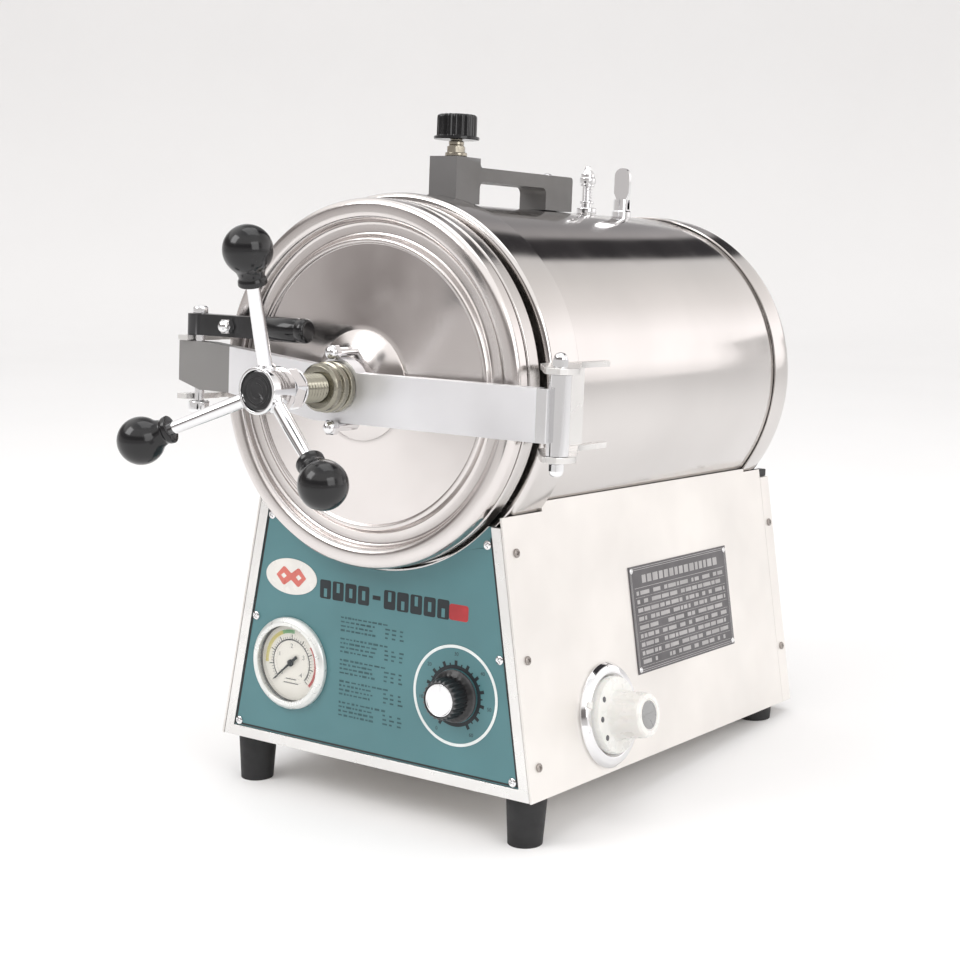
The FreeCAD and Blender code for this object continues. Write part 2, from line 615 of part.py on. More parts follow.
def casing_parts():
    start = "(ring_front + ring_wall + gap)"
    jacket = tube("casing_radius - casing_sheet", "casing_radius", f"casing_rear - {start}")
    seat(drilled(jacket, start), "casing", along_chamber(start))
    inner = "casing_radius + gap"
    ring = turned([("neck_radius + gap", "0"), (f"{RING_RADIUS} - 2", "0"), (RING_RADIUS, "2", "2", 1),
                   (RING_RADIUS, "ring_length"), (inner, "ring_length"), (inner, "ring_wall"),
                   ("neck_radius + gap", "ring_wall")])
    seat(ring, "front_ring", along_chamber("ring_front"))
    length = "(cap_rear - cap_front)"
    cap = turned([(inner, "0"), (CAP_RADIUS, "0"), (CAP_RADIUS, f"{length} - cap_corner"),
                  (f"{CAP_RADIUS} - cap_corner", length, "cap_corner", -1), ("0", length),
                  ("0", f"{length} - sheet"), (f"{CAP_RADIUS} - cap_corner", f"{length} - sheet"),
                  (inner, f"{length} - cap_corner", "cap_corner - sheet", 1)])
    seat(cap, "rear_cap", along_chamber("cap_front"))


def vessel():
    depth = "(chamber_depth + vessel_wall)"
    outer = "(chamber_radius + vessel_wall)"
    neck_end = "(flange_thickness + neck_length)"
    profile = [("chamber_radius", "0"), ("flange_radius", "0"),
               ("flange_radius", "flange_thickness - flange_chamfer"),
               ("flange_radius - flange_chamfer", "flange_thickness"),
               ("neck_radius", "flange_thickness"), ("neck_radius", neck_end), (outer, neck_end),
               (outer, f"{depth} - vessel_corner"),
               (f"{outer} - vessel_corner", depth, "vessel_corner", -1), ("0", depth),
               ("0", "chamber_depth"), (f"{outer} - vessel_corner", "chamber_depth"),
               ("chamber_radius", f"{depth} - vessel_corner", "vessel_corner - vessel_wall", 1)]
    seat(turned(profile), "vessel", along_chamber("-flange_proud"))


def insulation():
    start = "(flange_thickness - flange_proud + neck_length + gap)"
    wool = tube("chamber_radius + vessel_wall + gap", "casing_radius - casing_sheet - gap",
                f"insulation_rear - {start}")
    seat(drilled(wool, start), "insulation", along_chamber(start))


def chamber_fittings():
    floor_half = "sqrt((chamber_radius - gap)^2 - rack_level^2)"
    floor_z = "axis_height - rack_level"
    rack = [box(f"2 * {floor_half}", "rack_length", "rack_sheet",
                spot(f"-{floor_half}", "rack_front", floor_z))]
    side_height = "(rack_level - upper_ledge + tray_height)"
    for side in ("-rack_half", "(rack_half - rack_sheet)"):
        rack.append(box("rack_sheet", "rack_length", side_height, spot(side, "rack_front", floor_z)))
    for level in ("lower_ledge", "upper_ledge"):
        for side in ("-rack_half", "(rack_half - rack_ledge)"):
            rack.append(box("rack_ledge", "rack_length", "rack_sheet",
                            spot(side, "rack_front", f"axis_height - {level} - rack_sheet")))
    seat(fuse(*rack), "tray_rack", spot())
    half = f"(rack_half - rack_sheet - gap)"
    tray = cut(box(f"2 * {half}", "rack_length - 12", "tray_height", spot(f"-{half}", "0", "0")),
               box(f"2 * {half} - 2 * rack_sheet", "rack_length - 12 - 2 * rack_sheet", "tray_height",
                   spot(f"rack_sheet - {half}", "rack_sheet", "rack_sheet")))
    places = [spot("0", "rack_front + 6", f"axis_height - {level}") for level in ("lower_ledge",
                                                                                  "upper_ledge")]
    seat(copies(tray, places), "instrument_trays", spot())
    corner_middle = "(chamber_depth + vessel_wall - vessel_corner - flange_proud)"
    heater_reach = "sqrt(heater_half^2 + heater_level^2) + heater_radius"
    out_of_corner = f"({heater_reach} - chamber_radius - vessel_wall + vessel_corner)"
    end = f"({corner_middle} + sqrt((vessel_corner - vessel_wall - gap)^2 - {out_of_corner}^2))"
    start = "(rack_front + 40)"
    runs = [cylinder("heater_radius", f"{end} - {start}", spot(x, start, "0", BACKWARDS))
            for x in ("heater_half", "-heater_half")]
    bend = primitive("Torus", spot("0", start, "0"), Radius1="heater_half", Radius2="heater_radius")
    bend.Angle3 = 180
    bend.Placement = spot("0", start, "0", FreeCAD.Rotation(AXIS_Z, 180))
    seat(fuse(bend, *runs), "heater", spot("0", "0", "axis_height - heater_level"))


# ---------------------------------------------------------------- instruments
def gauge():
    face = f"({PANEL_FACE})"

    def place(proud):
        return spot("-gauge_x", f"{face} - ({proud})", "gauge_z", FORWARDS)

    inner = "(gauge_case_radius - 1)"
    case = turned([("0", "0"), ("gauge_case_radius", "0"), ("gauge_case_radius", "gauge_depth"),
                   (inner, "gauge_depth"), (inner, "1"), ("0", "1")])
    seat(case, "gauge_case", place("-gauge_depth"))
    lip = "(gauge_case_radius - 1.6)"
    bezel = turned([("gauge_case_radius + gap", "0"), ("gauge_bezel_radius", "0"),
                    ("gauge_bezel_radius", "gauge_bezel_height - 3"),
                    ("gauge_bezel_radius - 3", "gauge_bezel_height", "3", -1), (lip, "gauge_bezel_height"),
                    (lip, "gauge_bezel_height - 1"), ("gauge_case_radius + gap", "gauge_bezel_height - 1")])
    seat(bezel, "gauge_bezel", place("0"))
    glass = cylinder("gauge_case_radius", "1.6", spot())
    seat(glass, "gauge_glass", place("gauge_bezel_height - 1 - gap - 1.6"))
    dial = plate_disc(f"{inner} - gap", "0.8", "1.8")
    seat(dial, "gauge_dial", place("-1.2"))
    pointer = plate([("-1.1", "-9"), ("1.1", "-9"), ("0.4", "21"), ("-0.4", "21")], "0.5")
    pointer.Placement = FreeCAD.Placement(FreeCAD.Vector(0, 0, 0.9), FreeCAD.Rotation(AXIS_Z, GAUGE_REST))
    hub = cylinder("2.6", "1.2", spot("0", "0", "0.5"))
    pivot = cylinder("1.5", "10", spot("0", "0", "-9"))
    seat(fuse(pointer, hub, pivot), "gauge_needle", place("0"))


GAUGE_REST = 132


def plate_disc(radius, thickness, hole):
    return cut(cylinder(radius, thickness, spot()),
               cylinder(hole, f"{thickness} + 2", spot("0", "0", "-1")))


def timer():
    def place(proud):
        return spot("timer_x", f"({PANEL_FACE}) - ({proud})", "timer_z", FORWARDS)

    scale = plate_disc("timer_scale_radius", "0.5", "shaft_radius + port_play")
    seat(scale, "timer_scale", place("0"))
    knob = turned([("0", "-14"), ("shaft_radius", "-14"), ("shaft_radius", "0"),
                   ("timer_knob_radius", "0"), ("timer_knob_radius", "2"),
                   ("timer_knob_radius - 1.5", "3.5"), ("timer_grip_radius + 1", "4"),
                   ("timer_grip_radius", "timer_knob_height - 1.5"),
                   ("timer_grip_radius - 1.5", "timer_knob_height", "1.5", -1),
                   ("timer_grip_radius - 2.2", "timer_knob_height"),
                   ("timer_grip_radius - 2.2", "timer_knob_height - 1.2"),
                   ("0", "timer_knob_height - 1.2")])
    seat(knob, "timer_knob", place("0.5 + gap"))
    body = cut(box("46", "46", "30", spot("-23", "-23", "-30")),
               cylinder("shaft_radius + gap", "16", spot("0", "0", "-15")))
    seat(body, "timer_body", spot("timer_x", "frame_thickness", "timer_z", FORWARDS))


def thermostat():
    bezel = turned([("dial_bezel_inner", "0"), ("dial_bezel_radius", "0"), ("dial_bezel_radius", "1.5"),
                    ("dial_bezel_radius - 4", "dial_bezel_height", "4", -1),
                    ("dial_bezel_inner + 2", "dial_bezel_height"),
                    ("dial_bezel_inner", "dial_bezel_height - 2", "2", -1)])
    seat(bezel, "thermostat_bezel", on_side(RIGHT_SIDE, "dial_y", "dial_up"))
    low = "(1 + gap)"
    dial = turned([("0", "-14"), ("shaft_radius", "-14"), ("shaft_radius", low), ("dial_radius", low),
                   ("dial_radius", "dial_skirt - 3"), ("dial_radius - 3", "dial_skirt", "3", -1),
                   ("dial_boss_radius + 2", "dial_skirt"), ("dial_boss_radius", "dial_skirt + 2", "2", 1),
                   ("dial_boss_radius - 0.6", "dial_height - 2"),
                   ("dial_boss_radius - 2.6", "dial_height", "2", -1), ("0", "dial_height")])
    seat(dial, "thermostat_dial", on_side(RIGHT_SIDE, "dial_y", "dial_up"))
    body = cut(cylinder("20", "26", spot("0", "0", "-26")),
               cylinder("shaft_radius + gap", "16", spot("0", "0", "-15")))
    seat(body, "thermostat_body", on_side(RIGHT_SIDE, "dial_y", "dial_up", "-sheet"))


def rating_plate():
    across = "(plate_width / 2)"
    along = "(plate_length / 2)"
    corners = [(f"-{across}", f"-{along}"), (across, f"-{along}"), (across, along), (f"-{across}", along)]
    seat(plate(corners, "plate_thickness"), "rating_plate", on_side(RIGHT_SIDE, "plate_y", "plate_up"))


# ---------------------------------------------------------------- top of the casing
def handle():
    """A cast handle, seen from the side: X of the outline runs back, Y runs up."""
    back = "(handle_rear - handle_front)"
    corners = [("0", "0"), ("handle_post", "0"), ("handle_post", "handle_bridge_low - handle_corner"),
               ("handle_post + handle_corner", "handle_bridge_low", "handle_corner", 1),
               (f"{back} - handle_leg - handle_corner", "handle_bridge_low"),
               (f"{back} - handle_leg", "handle_bridge_low - handle_corner", "handle_corner", 1),
               (f"{back} - handle_leg", "0"), (back, "0"), (back, "handle_bridge_top - 3"),
               (f"{back} - 3", "handle_bridge_top", "3", -1), ("handle_post + 3", "handle_bridge_top"),
               ("handle_post", "handle_bridge_top + 3", "3", 1), ("handle_post", "handle_top"),
               ("0", "handle_top")]
    casting = plate(corners, "2 * handle_half")
    sideways = FreeCAD.Rotation(AXIS_Y, AXIS_Z, AXIS_X)
    casting.Placement = spot("-handle_half", "handle_front", CASING_TOP, sideways)
    bore = cylinder("pipe_radius + gap", "handle_top + 4", spot("0", "exhaust_y", f"{CASING_TOP} - 2"))
    seat(cut(casting, bore), "handle", spot())


def exhaust_valve():
    top = f"({CASING_TOP} + handle_top + gap)"
    collar = f"({top} - {VESSEL_TOP})"
    knob_low = "(exhaust_rise - gap)"
    stem = turned([("0", "0"), ("pipe_radius", "0"), ("pipe_radius", collar), ("pipe_radius + 4", collar),
                   ("pipe_radius + 4", f"{collar} + 3"), ("pipe_radius + 1.5", f"{collar} + 3"),
                   ("pipe_radius + 1.5", f"{collar} + {knob_low} - 2"),
                   ("pipe_radius", f"{collar} + {knob_low} - 1"),
                   ("pipe_radius", f"{collar} + {knob_low} + 9"), ("0", f"{collar} + {knob_low} + 9")])
    seat(stem, "exhaust_stem", spot("0", "exhaust_y", VESSEL_TOP))
    flange = "(exhaust_knob_radius + 2)"
    bore = "(pipe_radius + fit)"
    knob = turned([(bore, "0"), (flange, "0"), (flange, "exhaust_flange"),
                   ("exhaust_knob_radius", "exhaust_flange"),
                   ("exhaust_knob_radius", "exhaust_knob_height - 2"),
                   ("exhaust_knob_radius - 2", "exhaust_knob_height", "2", -1),
                   ("0", "exhaust_knob_height"), ("0", "10"), (bore, "10")])
    flute = cylinder("1.6", "exhaust_knob_height",
                     spot("exhaust_knob_radius + 0.6", "0", "exhaust_flange + 1"))
    flutes = copies(flute, [FreeCAD.Placement(FreeCAD.Vector(), FreeCAD.Rotation(AXIS_Z, 360 * step / 14))
                            for step in range(14)])
    seat(cut(knob, flutes), "exhaust_knob", spot("0", "exhaust_y", f"{top} + {knob_low} - 0.7"))


def top_valves():
    collar = f"({CASING_TOP} - {VESSEL_TOP})"
    upper = f"({collar} + collar_height)"
    base = [("0", "0"), ("pipe_radius", "0"), ("pipe_radius", collar), ("collar_radius", collar),
            ("collar_radius", f"{upper} - 1"), ("collar_radius - 1", upper)]
    split = f"({collar} + safety_height * 0.62)"
    body = turned(base + [("safety_radius", upper), ("safety_radius", split), ("2", split),
                          ("2", f"{split} - 12"), ("0", f"{split} - 12")])
    seat(body, "safety_valve_body", spot("0", "safety_y", VESSEL_TOP))
    dome = "(safety_radius + 0.9)"
    height = "(safety_height * 0.38 - gap)"
    cap = turned([("0", "-10"), ("2 - fit", "-10"), ("2 - fit", "0"), (dome, "0"),
                  (dome, f"{height} - {dome}"), ("0", height, dome, -1)])
    seat(cap, "safety_valve_cap", spot("0", "safety_y", f"{VESSEL_TOP} + {split} + gap"))
    cheek = f"({upper} + 9)"
    vent = turned(base + [("safety_radius + 1.2", upper), ("safety_radius + 1.2", cheek), ("0", cheek)])
    slot = box("30", "vent_plate + 2 * gap", "8 + 2", spot("-15", "-vent_plate / 2 - gap", f"{cheek} - 8"))
    pin_hole = cylinder("1.5 + fit", "30", spot("0", "15", f"{cheek} - 3.5", FORWARDS))
    seat(cut(vent, slot, pin_hole), "vent_valve_body", spot("0", "vent_y", VESSEL_TOP))
    pivot = f"({CASING_TOP} + collar_height + 9 - 3.5)"
    reach = f"({CASING_TOP} + vent_height - {pivot})"
    low = "2.6"
    shoulder = f"({reach} - vent_half)"
    lever = plate([(f"-{low}", "0"), ("0", f"-{low}", low, -1), (low, "0", low, -1), ("vent_half", "9"),
                   ("vent_half", shoulder), ("0", reach, "vent_half", -1),
                   ("-vent_half", shoulder, "vent_half", -1), ("-vent_half", "9")], "vent_plate",
                   [("0", "0", "1.5 + fit")])
    seat(lever, "vent_lever", spot("0", "vent_y + vent_plate / 2", pivot, FORWARDS))
    pin = cylinder("1.5", "2 * (safety_radius + 1.2)", spot())
    seat(pin, "vent_pin", spot("0", "vent_y + safety_radius + 1.2", pivot, FORWARDS))


# ---------------------------------------------------------------- door, arm and hand wheel
def in_front(distance):
    """On the chamber axis, this far in front of the front panel, with Z towards the user."""
    return spot("0", f"-({distance})", "axis_height", FORWARDS)


def door():
    rim_inner = "(door_radius - rim_width)"
    half = "(rim_width / 2)"
    shoulder = f"(rim_crest - {half})"
    groove_in = "(gasket_inner - gap)"
    groove_out = "(gasket_inner + gasket_width + gap)"
    disc = turned([("0", "0"), (groove_in, "0"), (groove_in, "groove_depth"),
                   (groove_out, "groove_depth"), (groove_out, "0"), ("door_radius - 1", "0"),
                   ("door_radius", "1"), ("door_radius", shoulder),
                   (f"door_radius - {half}", "rim_crest", half, -1), (rim_inner, shoulder, half, -1),
                   ("trough_outer", "trough_height"), ("trough_inner", "trough_height"),
                   ("dish_radius + 1.5", "dish_edge_height"), ("dish_radius", "dish_edge_height"),
                   ("boss_radius + 1", "dish_height"), ("0", "dish_height")])
    seat(disc, "door", in_front(DOOR_BACK))
    gasket = tube("gasket_inner", "gasket_inner + gasket_width", "gasket_thickness")
    seat(gasket, "door_gasket", in_front(f"{DOOR_BACK} + groove_depth - gap - gasket_thickness"))
    socket = "(spindle_radius + gap)"
    dome = dome_radius("boss_radius", "boss_height")
    lip = f"(boss_height - {dome} + sqrt({dome}^2 - {socket}^2))"
    boss = turned([("0", "0"), ("boss_radius", "0"), (socket, lip, dome, -1),
                   (socket, "boss_height - socket_depth"), ("0", "boss_height - socket_depth")])
    holes = [cylinder("stud_radius + fit", "boss_height + 2", spot("0", f"{height} - axis_height", "-1"))
             for height in (STUD_TOP, STUD_LOW)]
    seat(cut(boss, *holes), "door_boss", in_front(BOSS_BASE))
    stud = cylinder("stud_radius", f"{ARM_FRONT} + 2 * gap + nut_height - {BOSS_BASE} - gap", spot())
    places = [spot("0", f"-({BOSS_BASE} + gap)", height, FORWARDS) for height in (STUD_TOP, STUD_LOW)]
    seat(copies(stud, places), "door_studs", spot())


def acorn_nut(bore):
    """An acorn nut standing on its own XY plane, open below."""
    hexagon = primitive("Prism", spot(), Circumradius="nut_radius", Height="nut_height")
    dome = primitive("Sphere", spot("0", "0", "nut_height"), Radius="nut_radius * 0.8")
    return cut(fuse(hexagon, dome), cylinder(f"{bore} + fit", "nut_height + 1.5", spot("0", "0", "-0.5")))


def stud_nuts():
    places = [spot("0", f"-({ARM_FRONT} + 2 * gap)", height, FORWARDS) for height in (STUD_TOP, STUD_LOW)]
    seat(copies(acorn_nut("stud_radius"), places), "stud_nuts", spot())


def arm():
    """The bar across the door: level from the hinge to the screw, then rising to the latch."""
    top = f"({ARM_MIDDLE} + arm_height / 2)"
    low = f"({ARM_MIDDLE} - arm_height / 2)"
    left_low = f"({ARM_LEFT_TOP} - arm_height)"
    corners = [("hinge_x", low), ("hinge_x", top), ("pad_radius", top),
               (f"-arm_left + arm_level", ARM_LEFT_TOP), ("-arm_left", ARM_LEFT_TOP),
               ("-arm_left", f"{left_low} + 6"), ("-arm_left + arm_bevel", left_low),
               ("-arm_left + arm_level + arm_bevel", left_low), ("-pad_radius", low)]
    bar = plate(corners, "arm_thickness")
    bar.Placement = spot("0", "-arm_back", "0", FORWARDS)
    pad = cylinder("pad_radius", "arm_thickness", in_front("arm_back"))
    knuckle_low = f"({ARM_MIDDLE} - lug_space / 2 + gap)"
    hinge = ("hinge_x", "-hinge_front")
    knuckle = cylinder("knuckle_radius", "lug_space - 2 * gap", spot(*hinge, knuckle_low))
    bores = [cylinder("bush_spigot + fit", "arm_thickness + 2", in_front("arm_back - 1")),
             cylinder("hinge_pin_radius + fit", "lug_space + 10", spot(*hinge, f"{knuckle_low} - 5")),
             cylinder("latch_pin_radius + fit", "arm_height + 20",
                      spot("-latch_x", "-(arm_back + arm_thickness / 2)", f"{left_low} - 10"))]
    seat(cut(fuse(bar, pad, knuckle), *bores), "arm", spot())


def lugs_on_plate(left_side, corners, low, top):
    """Two equal flat lugs on an upright plate against the side of the front ring."""
    lugs = []
    for height in (low, top):
        lug = plate(corners, "lug_thickness")
        lug.Placement = spot("0", "0", height)
        lugs.append(lug)
    face = f"({RING_RADIUS} + gap)"
    edge = f"-({face} + bracket_plate)" if left_side else face
    upright = box("bracket_plate", "ring_length - 4", f"{top} + lug_thickness - {low}",
                  spot(edge, "ring_front + 2", low))
    return fuse(upright, *lugs)


def hinge():
    low = f"({ARM_MIDDLE} - lug_space / 2 - lug_thickness)"
    top = f"({ARM_MIDDLE} + lug_space / 2)"
    inner = f"({RING_RADIUS} + gap)"
    eye = "(knuckle_radius + 1.5)"
    corners = [(inner, "-2"), (f"hinge_x - {eye}", f"-hinge_front - {eye} + 4"),
               (f"hinge_x - {eye} + 4", f"-hinge_front - {eye}"),
               (f"hinge_x + {eye} - 4", f"-hinge_front - {eye}"),
               (f"hinge_x + {eye}", f"-hinge_front - {eye} + 4"),
               (f"hinge_x + {eye}", f"-hinge_front + {eye}"), (f"{inner} + lug_strap + 6", "30"),
               (f"{inner} + lug_strap", "40"), (f"{inner} + lug_strap", "lug_rear"), (inner, "lug_rear")]
    spot_of_pin = ("hinge_x", "-hinge_front")
    drill = cylinder("hinge_pin_radius + fit", f"{top} - {low} + 20", spot(*spot_of_pin, f"{low} - 5"))
    seat(cut(lugs_on_plate(False, corners, low, top), drill), "hinge_bracket", spot())
    pin_low = f"({low} - gap - nut_height)"
    length = "(lug_space + 2 * lug_thickness + 2 * gap + 2 * nut_height)"
    seat(cylinder("hinge_pin_radius", length, spot()), "hinge_pin", spot(*spot_of_pin, pin_low))
    nut = acorn_nut("hinge_pin_radius")
    places = [spot(*spot_of_pin, f"{top} + lug_thickness + gap"),
              spot(*spot_of_pin, f"{low} - gap", DOWNWARDS)]
    seat(copies(nut, places), "hinge_nuts", spot())


def latch():
    """A pin through the arm's left end, lying in the notches of a keeper on the casing.

    The notches are open to the front and to the right, where the door's rim swings past.
    """
    pin_y = "(arm_back + arm_thickness / 2)"
    end = f"-({pin_y} + 9)"
    inner = f"-({RING_RADIUS} + gap)"
    outer = f"({inner} - 10)"
    clear = f"-({DOOR_BACK} + rim_crest + 3)"
    half = "(latch_pin_radius + slot_play)"
    rear = "ring_front + ring_length - 2"
    low = KEEPER_LOW
    top = KEEPER_TOP
    corners = [(inner, rear), (inner, clear), ("-latch_x", clear), ("-latch_x", f"-{pin_y} + {half}"),
               (f"-latch_x - {half}", f"-{pin_y}", half, -1), (f"-latch_x - {half}", end), (outer, end),
               (outer, rear)]
    seat(lugs_on_plate(True, corners, low, top), "latch_keeper", spot())
    lever_low = f"({top} + lug_thickness + gap)"
    head = "(latch_pin_radius + 2)"
    stem = f"({lever_low} + latch_height + gap - ({low} - 2 * gap))"
    pin = turned([("0", "-8"), (f"{head} + 2", "-8"), (f"{head} + 2", "-1"), (f"{head} + 1", "0"),
                  ("latch_pin_radius", "0"), ("latch_pin_radius", stem), (head, stem),
                  (head, f"{stem} + 4"), ("0", f"{stem} + 5.5", dome_radius(head, "1.5"), -1)])
    seat(pin, "latch_pin", spot("-latch_x", f"-{pin_y}", f"{low} - 2 * gap"))
    lever = box("latch_reach - grip_length + 12", "latch_width", "latch_height",
                spot("0", "-latch_width / 2", "0"))
    hub = cylinder("latch_width / 2 + 2", "latch_height", spot())
    nose = cylinder("grip_radius - 3", "grip_length - 22",
                    spot("latch_reach - grip_length + 11", "0", "latch_height / 2",
                         FreeCAD.Rotation(AXIS_Y, 90)))
    stud = cylinder("stud_radius", "nut_height",
                    spot("34", "-latch_width / 2", "latch_height / 2", FORWARDS))
    bore = cylinder("latch_pin_radius + fit", "latch_height + 2", spot("0", "0", "-1"))
    place = spot("-latch_x", f"-{pin_y}", lever_low)
    seat(cut(fuse(lever, hub, nose, stud), bore), "latch_lever", place)
    grip = turned([("grip_radius - 3 + gap", "0"), ("grip_radius - 1", "0"), ("grip_radius", "1.5"),
                   ("grip_radius", "grip_length - 12 - 4"),
                   ("grip_radius - 4", "grip_length - 12", "4", -1), ("0", "grip_length - 12"),
                   ("0", "grip_length - 22"), ("grip_radius - 3 + gap", "grip_length - 22")])
    turn = FreeCAD.Rotation(AXIS_Y, 90)
    seat(grip, "latch_grip",
         place.multiply(spot("latch_reach - grip_length + 12 + gap", "0", "latch_height / 2", turn)))
    nut = acorn_nut("stud_radius")
    seat(nut, "latch_nut",
         place.multiply(spot("34", "-latch_width / 2 - gap", "latch_height / 2", FORWARDS)))


def hand_wheel():
    bush = turned([("spindle_radius + fit", "0"), ("bush_spigot", "0"),
                   ("bush_spigot", "arm_thickness + gap"), ("bush_radius", "arm_thickness + gap"),
                   ("bush_radius", "arm_thickness + bush_length - 2"),
                   ("bush_radius - 2", "arm_thickness + bush_length"),
                   ("spindle_radius + fit", "arm_thickness + bush_length")])
    seat(bush, "screw_bush", in_front("arm_back"))
    spindle_end = f"({BOSS_BASE} + boss_height - socket_depth + gap)"
    spindle = turned([("0", "0"), ("spindle_radius - 1.5", "0"), ("spindle_radius", "1.5"),
                      ("spindle_radius", f"{HUB_BACK} - {spindle_end}"),
                      ("spindle_radius - 3", f"{HUB_BACK} - {spindle_end}"),
                      ("spindle_radius - 3", f"{HUB_BACK} - {spindle_end} + 8"),
                      ("0", f"{HUB_BACK} - {spindle_end} + 8")])
    seat(spindle, "spindle", in_front(spindle_end))
    rod_start = f"(hub_front - hub_length / 2)"
    hub = turned([("spindle_radius - 3 + fit", "0"), ("hub_radius - 2.5", "0"), ("hub_radius", "4"),
                  ("hub_radius", "hub_length - 1"), ("hub_radius - 1", "hub_length"),
                  ("hub_cap_radius + gap", "hub_length"),
                  ("hub_cap_radius + gap", "hub_length - hub_recess"), ("0", "hub_length - hub_recess"),
                  ("0", "9"), ("spindle_radius - 3 + fit", "9")])
    tilt = math.atan2(number(f"ball_front - {rod_start}"), number("wheel_radius"))
    turns = [FreeCAD.Rotation(AXIS_Z, number("wheel_phase") + 120 * step) for step in range(3)]
    aim = FreeCAD.Rotation(AXIS_Y, 90 - math.degrees(tilt))

    def along_rod(step, distance):
        """A place on a rod's own axis, in the hub's frame."""
        turn = turns[step].multiply(aim)
        start = FreeCAD.Vector(0, 0, number("hub_length / 2"))
        return FreeCAD.Placement(start + turn.multVec(AXIS_Z) * distance, turn)

    reach = number("wheel_radius") / math.cos(tilt)
    root = number("hub_radius") / 2
    sockets = fuse(*[cylinder("rod_root_radius + fit", "hub_radius",
                              along_rod(step, root)) for step in range(3)])
    seat(cut(hub, sockets), "wheel_hub", in_front(HUB_BACK))
    cap = turned([("0", "0"), ("hub_cap_radius", "0"), ("hub_cap_radius", "1.6"),
                  ("hub_cap_radius - 1", "2.4"), ("0", "2.4")])
    seat(cap, "hub_cap", in_front("hub_front - hub_recess + gap"))
    rod = doc.addObject("Part::Cone", "Rod")
    rod.setExpression("Radius1", bound("rod_root_radius"))
    rod.setExpression("Radius2", bound("rod_tip_radius"))
    rod.Height = reach - root - 1
    seat(copies(rod, [along_rod(step, root + 0.5) for step in range(3)]), "wheel_rods", in_front(HUB_BACK))
    ball = fuse(primitive("Sphere", spot(), Radius="ball_radius"),
                primitive("Cone", spot("0", "0", "-(ball_radius + ball_neck_length)"), Radius1="ball_neck",
                          Radius2="ball_neck + 2.5", Height="ball_neck_length + 6"))
    socket = cylinder("rod_tip_radius + 4 * fit", "ball_radius + ball_neck_length + 1.5",
                      spot("0", "0", "-(ball_radius + ball_neck_length + 1)"))
    knobs = copies(cut(ball, socket), [along_rod(step, reach) for step in range(3)])
    seat(knobs, "ball_knobs", in_front(HUB_BACK))


def check_document():
    """Stops if any object failed or any finished piece has no sound shape."""
    doc.recompute()
    faults = [item.Name for item in doc.Objects if {"Invalid", "Error"} & set(item.State)]
    for piece in PIECES:
        if piece.Shape.isNull() or not piece.Shape.isValid():
            faults.append(piece.Label)
    if faults:
        raise RuntimeError("these objects failed: " + ", ".join(faults))


def main():
    for build in (base_pan, side_panels, front_panel, screws, rear_cover, cradle_pads, power_inlet, feet,
                  casing_parts, vessel, insulation, chamber_fittings, gauge, timer, thermostat,
                  rating_plate, handle, exhaust_valve, top_valves, door, stud_nuts, arm, hinge, latch,
                  hand_wheel):
        build()
    check_document()
    os.makedirs("parts", exist_ok=True)
    for piece in PIECES:
        piece.Shape.exportStep(f"parts/{piece.Label}.step")
    print(len(PIECES), "pieces")


main()
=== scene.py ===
"""Benchtop autoclave: the shown pieces, their finishes and the stage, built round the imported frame.

Sizes are in millimetres in the cabinet's own frame: X to the right, Y from the front panel to
the back, Z up the cabinet, zero at the middle of its lower front edge.  CABINET carries them to
the leaning cabinet in metres.
"""
import json
import math
import random

import bmesh
import bpy
from mathutils import Matrix, Vector, geometry


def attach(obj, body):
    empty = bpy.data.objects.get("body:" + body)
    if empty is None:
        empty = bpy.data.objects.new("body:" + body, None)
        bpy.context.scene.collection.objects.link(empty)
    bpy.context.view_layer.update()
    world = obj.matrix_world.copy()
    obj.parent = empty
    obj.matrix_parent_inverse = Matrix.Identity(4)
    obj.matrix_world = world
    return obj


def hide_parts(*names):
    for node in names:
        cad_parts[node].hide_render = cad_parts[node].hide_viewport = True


bl_info = {
    "name": "Benchtop Autoclave",
    "version": (1, 0, 0),
    "blender": (4, 5, 0),
    "location": "View3D > Sidebar > Autoclave",
    "description": "Builds the shown pieces of a benchtop autoclave round its packed frame",
    "category": "Object",
}

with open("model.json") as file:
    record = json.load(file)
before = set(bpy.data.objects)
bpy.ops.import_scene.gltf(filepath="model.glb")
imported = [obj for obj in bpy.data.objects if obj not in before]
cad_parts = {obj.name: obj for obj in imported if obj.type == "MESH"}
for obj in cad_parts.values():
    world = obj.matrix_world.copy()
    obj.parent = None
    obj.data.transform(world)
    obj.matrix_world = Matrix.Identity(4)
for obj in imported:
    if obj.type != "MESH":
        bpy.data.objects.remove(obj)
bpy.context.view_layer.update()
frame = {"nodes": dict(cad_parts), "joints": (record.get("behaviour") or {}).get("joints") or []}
JOINTS = {joint["name"]: joint for joint in frame["joints"]}

# ---------------------------------------------------------------- places
AXIS_HEIGHT = 273.2
HUB_FRONT = 129.0
UP = Vector(JOINTS["arm_swing"]["axis"])
BACK = -Vector(JOINTS["door_press"]["axis"])
RIGHT = BACK.cross(UP)
HUB_POINT = Vector(JOINTS["wheel_spin"]["pos_m"])
CORNER = HUB_POINT + BACK * HUB_FRONT / 1000 - UP * AXIS_HEIGHT / 1000
CABINET = Matrix.Translation(CORNER) @ Matrix((RIGHT, BACK,
                                               UP)).transposed().to_4x4() @ Matrix.Scale(0.001, 4)

SLOPE = math.atan(34.5 / 197.5)
BASE_HALF = 139.5
BASE_DEPTH = 391.0


def turn(degrees, axis):
    return Matrix.Rotation(math.radians(degrees), 4, axis)


FORWARDS = turn(90, "X")
BACKWARDS = turn(-90, "X")
RIGHTWARDS = turn(90, "Y")
RIGHT_SIDE = turn(90 - math.degrees(SLOPE), "Y")
LEFT_SIDE = turn(math.degrees(SLOPE) - 90, "Y")


def at(x, y, z, rotation=Matrix()):
    return Matrix.Translation((x, y, z)) @ rotation


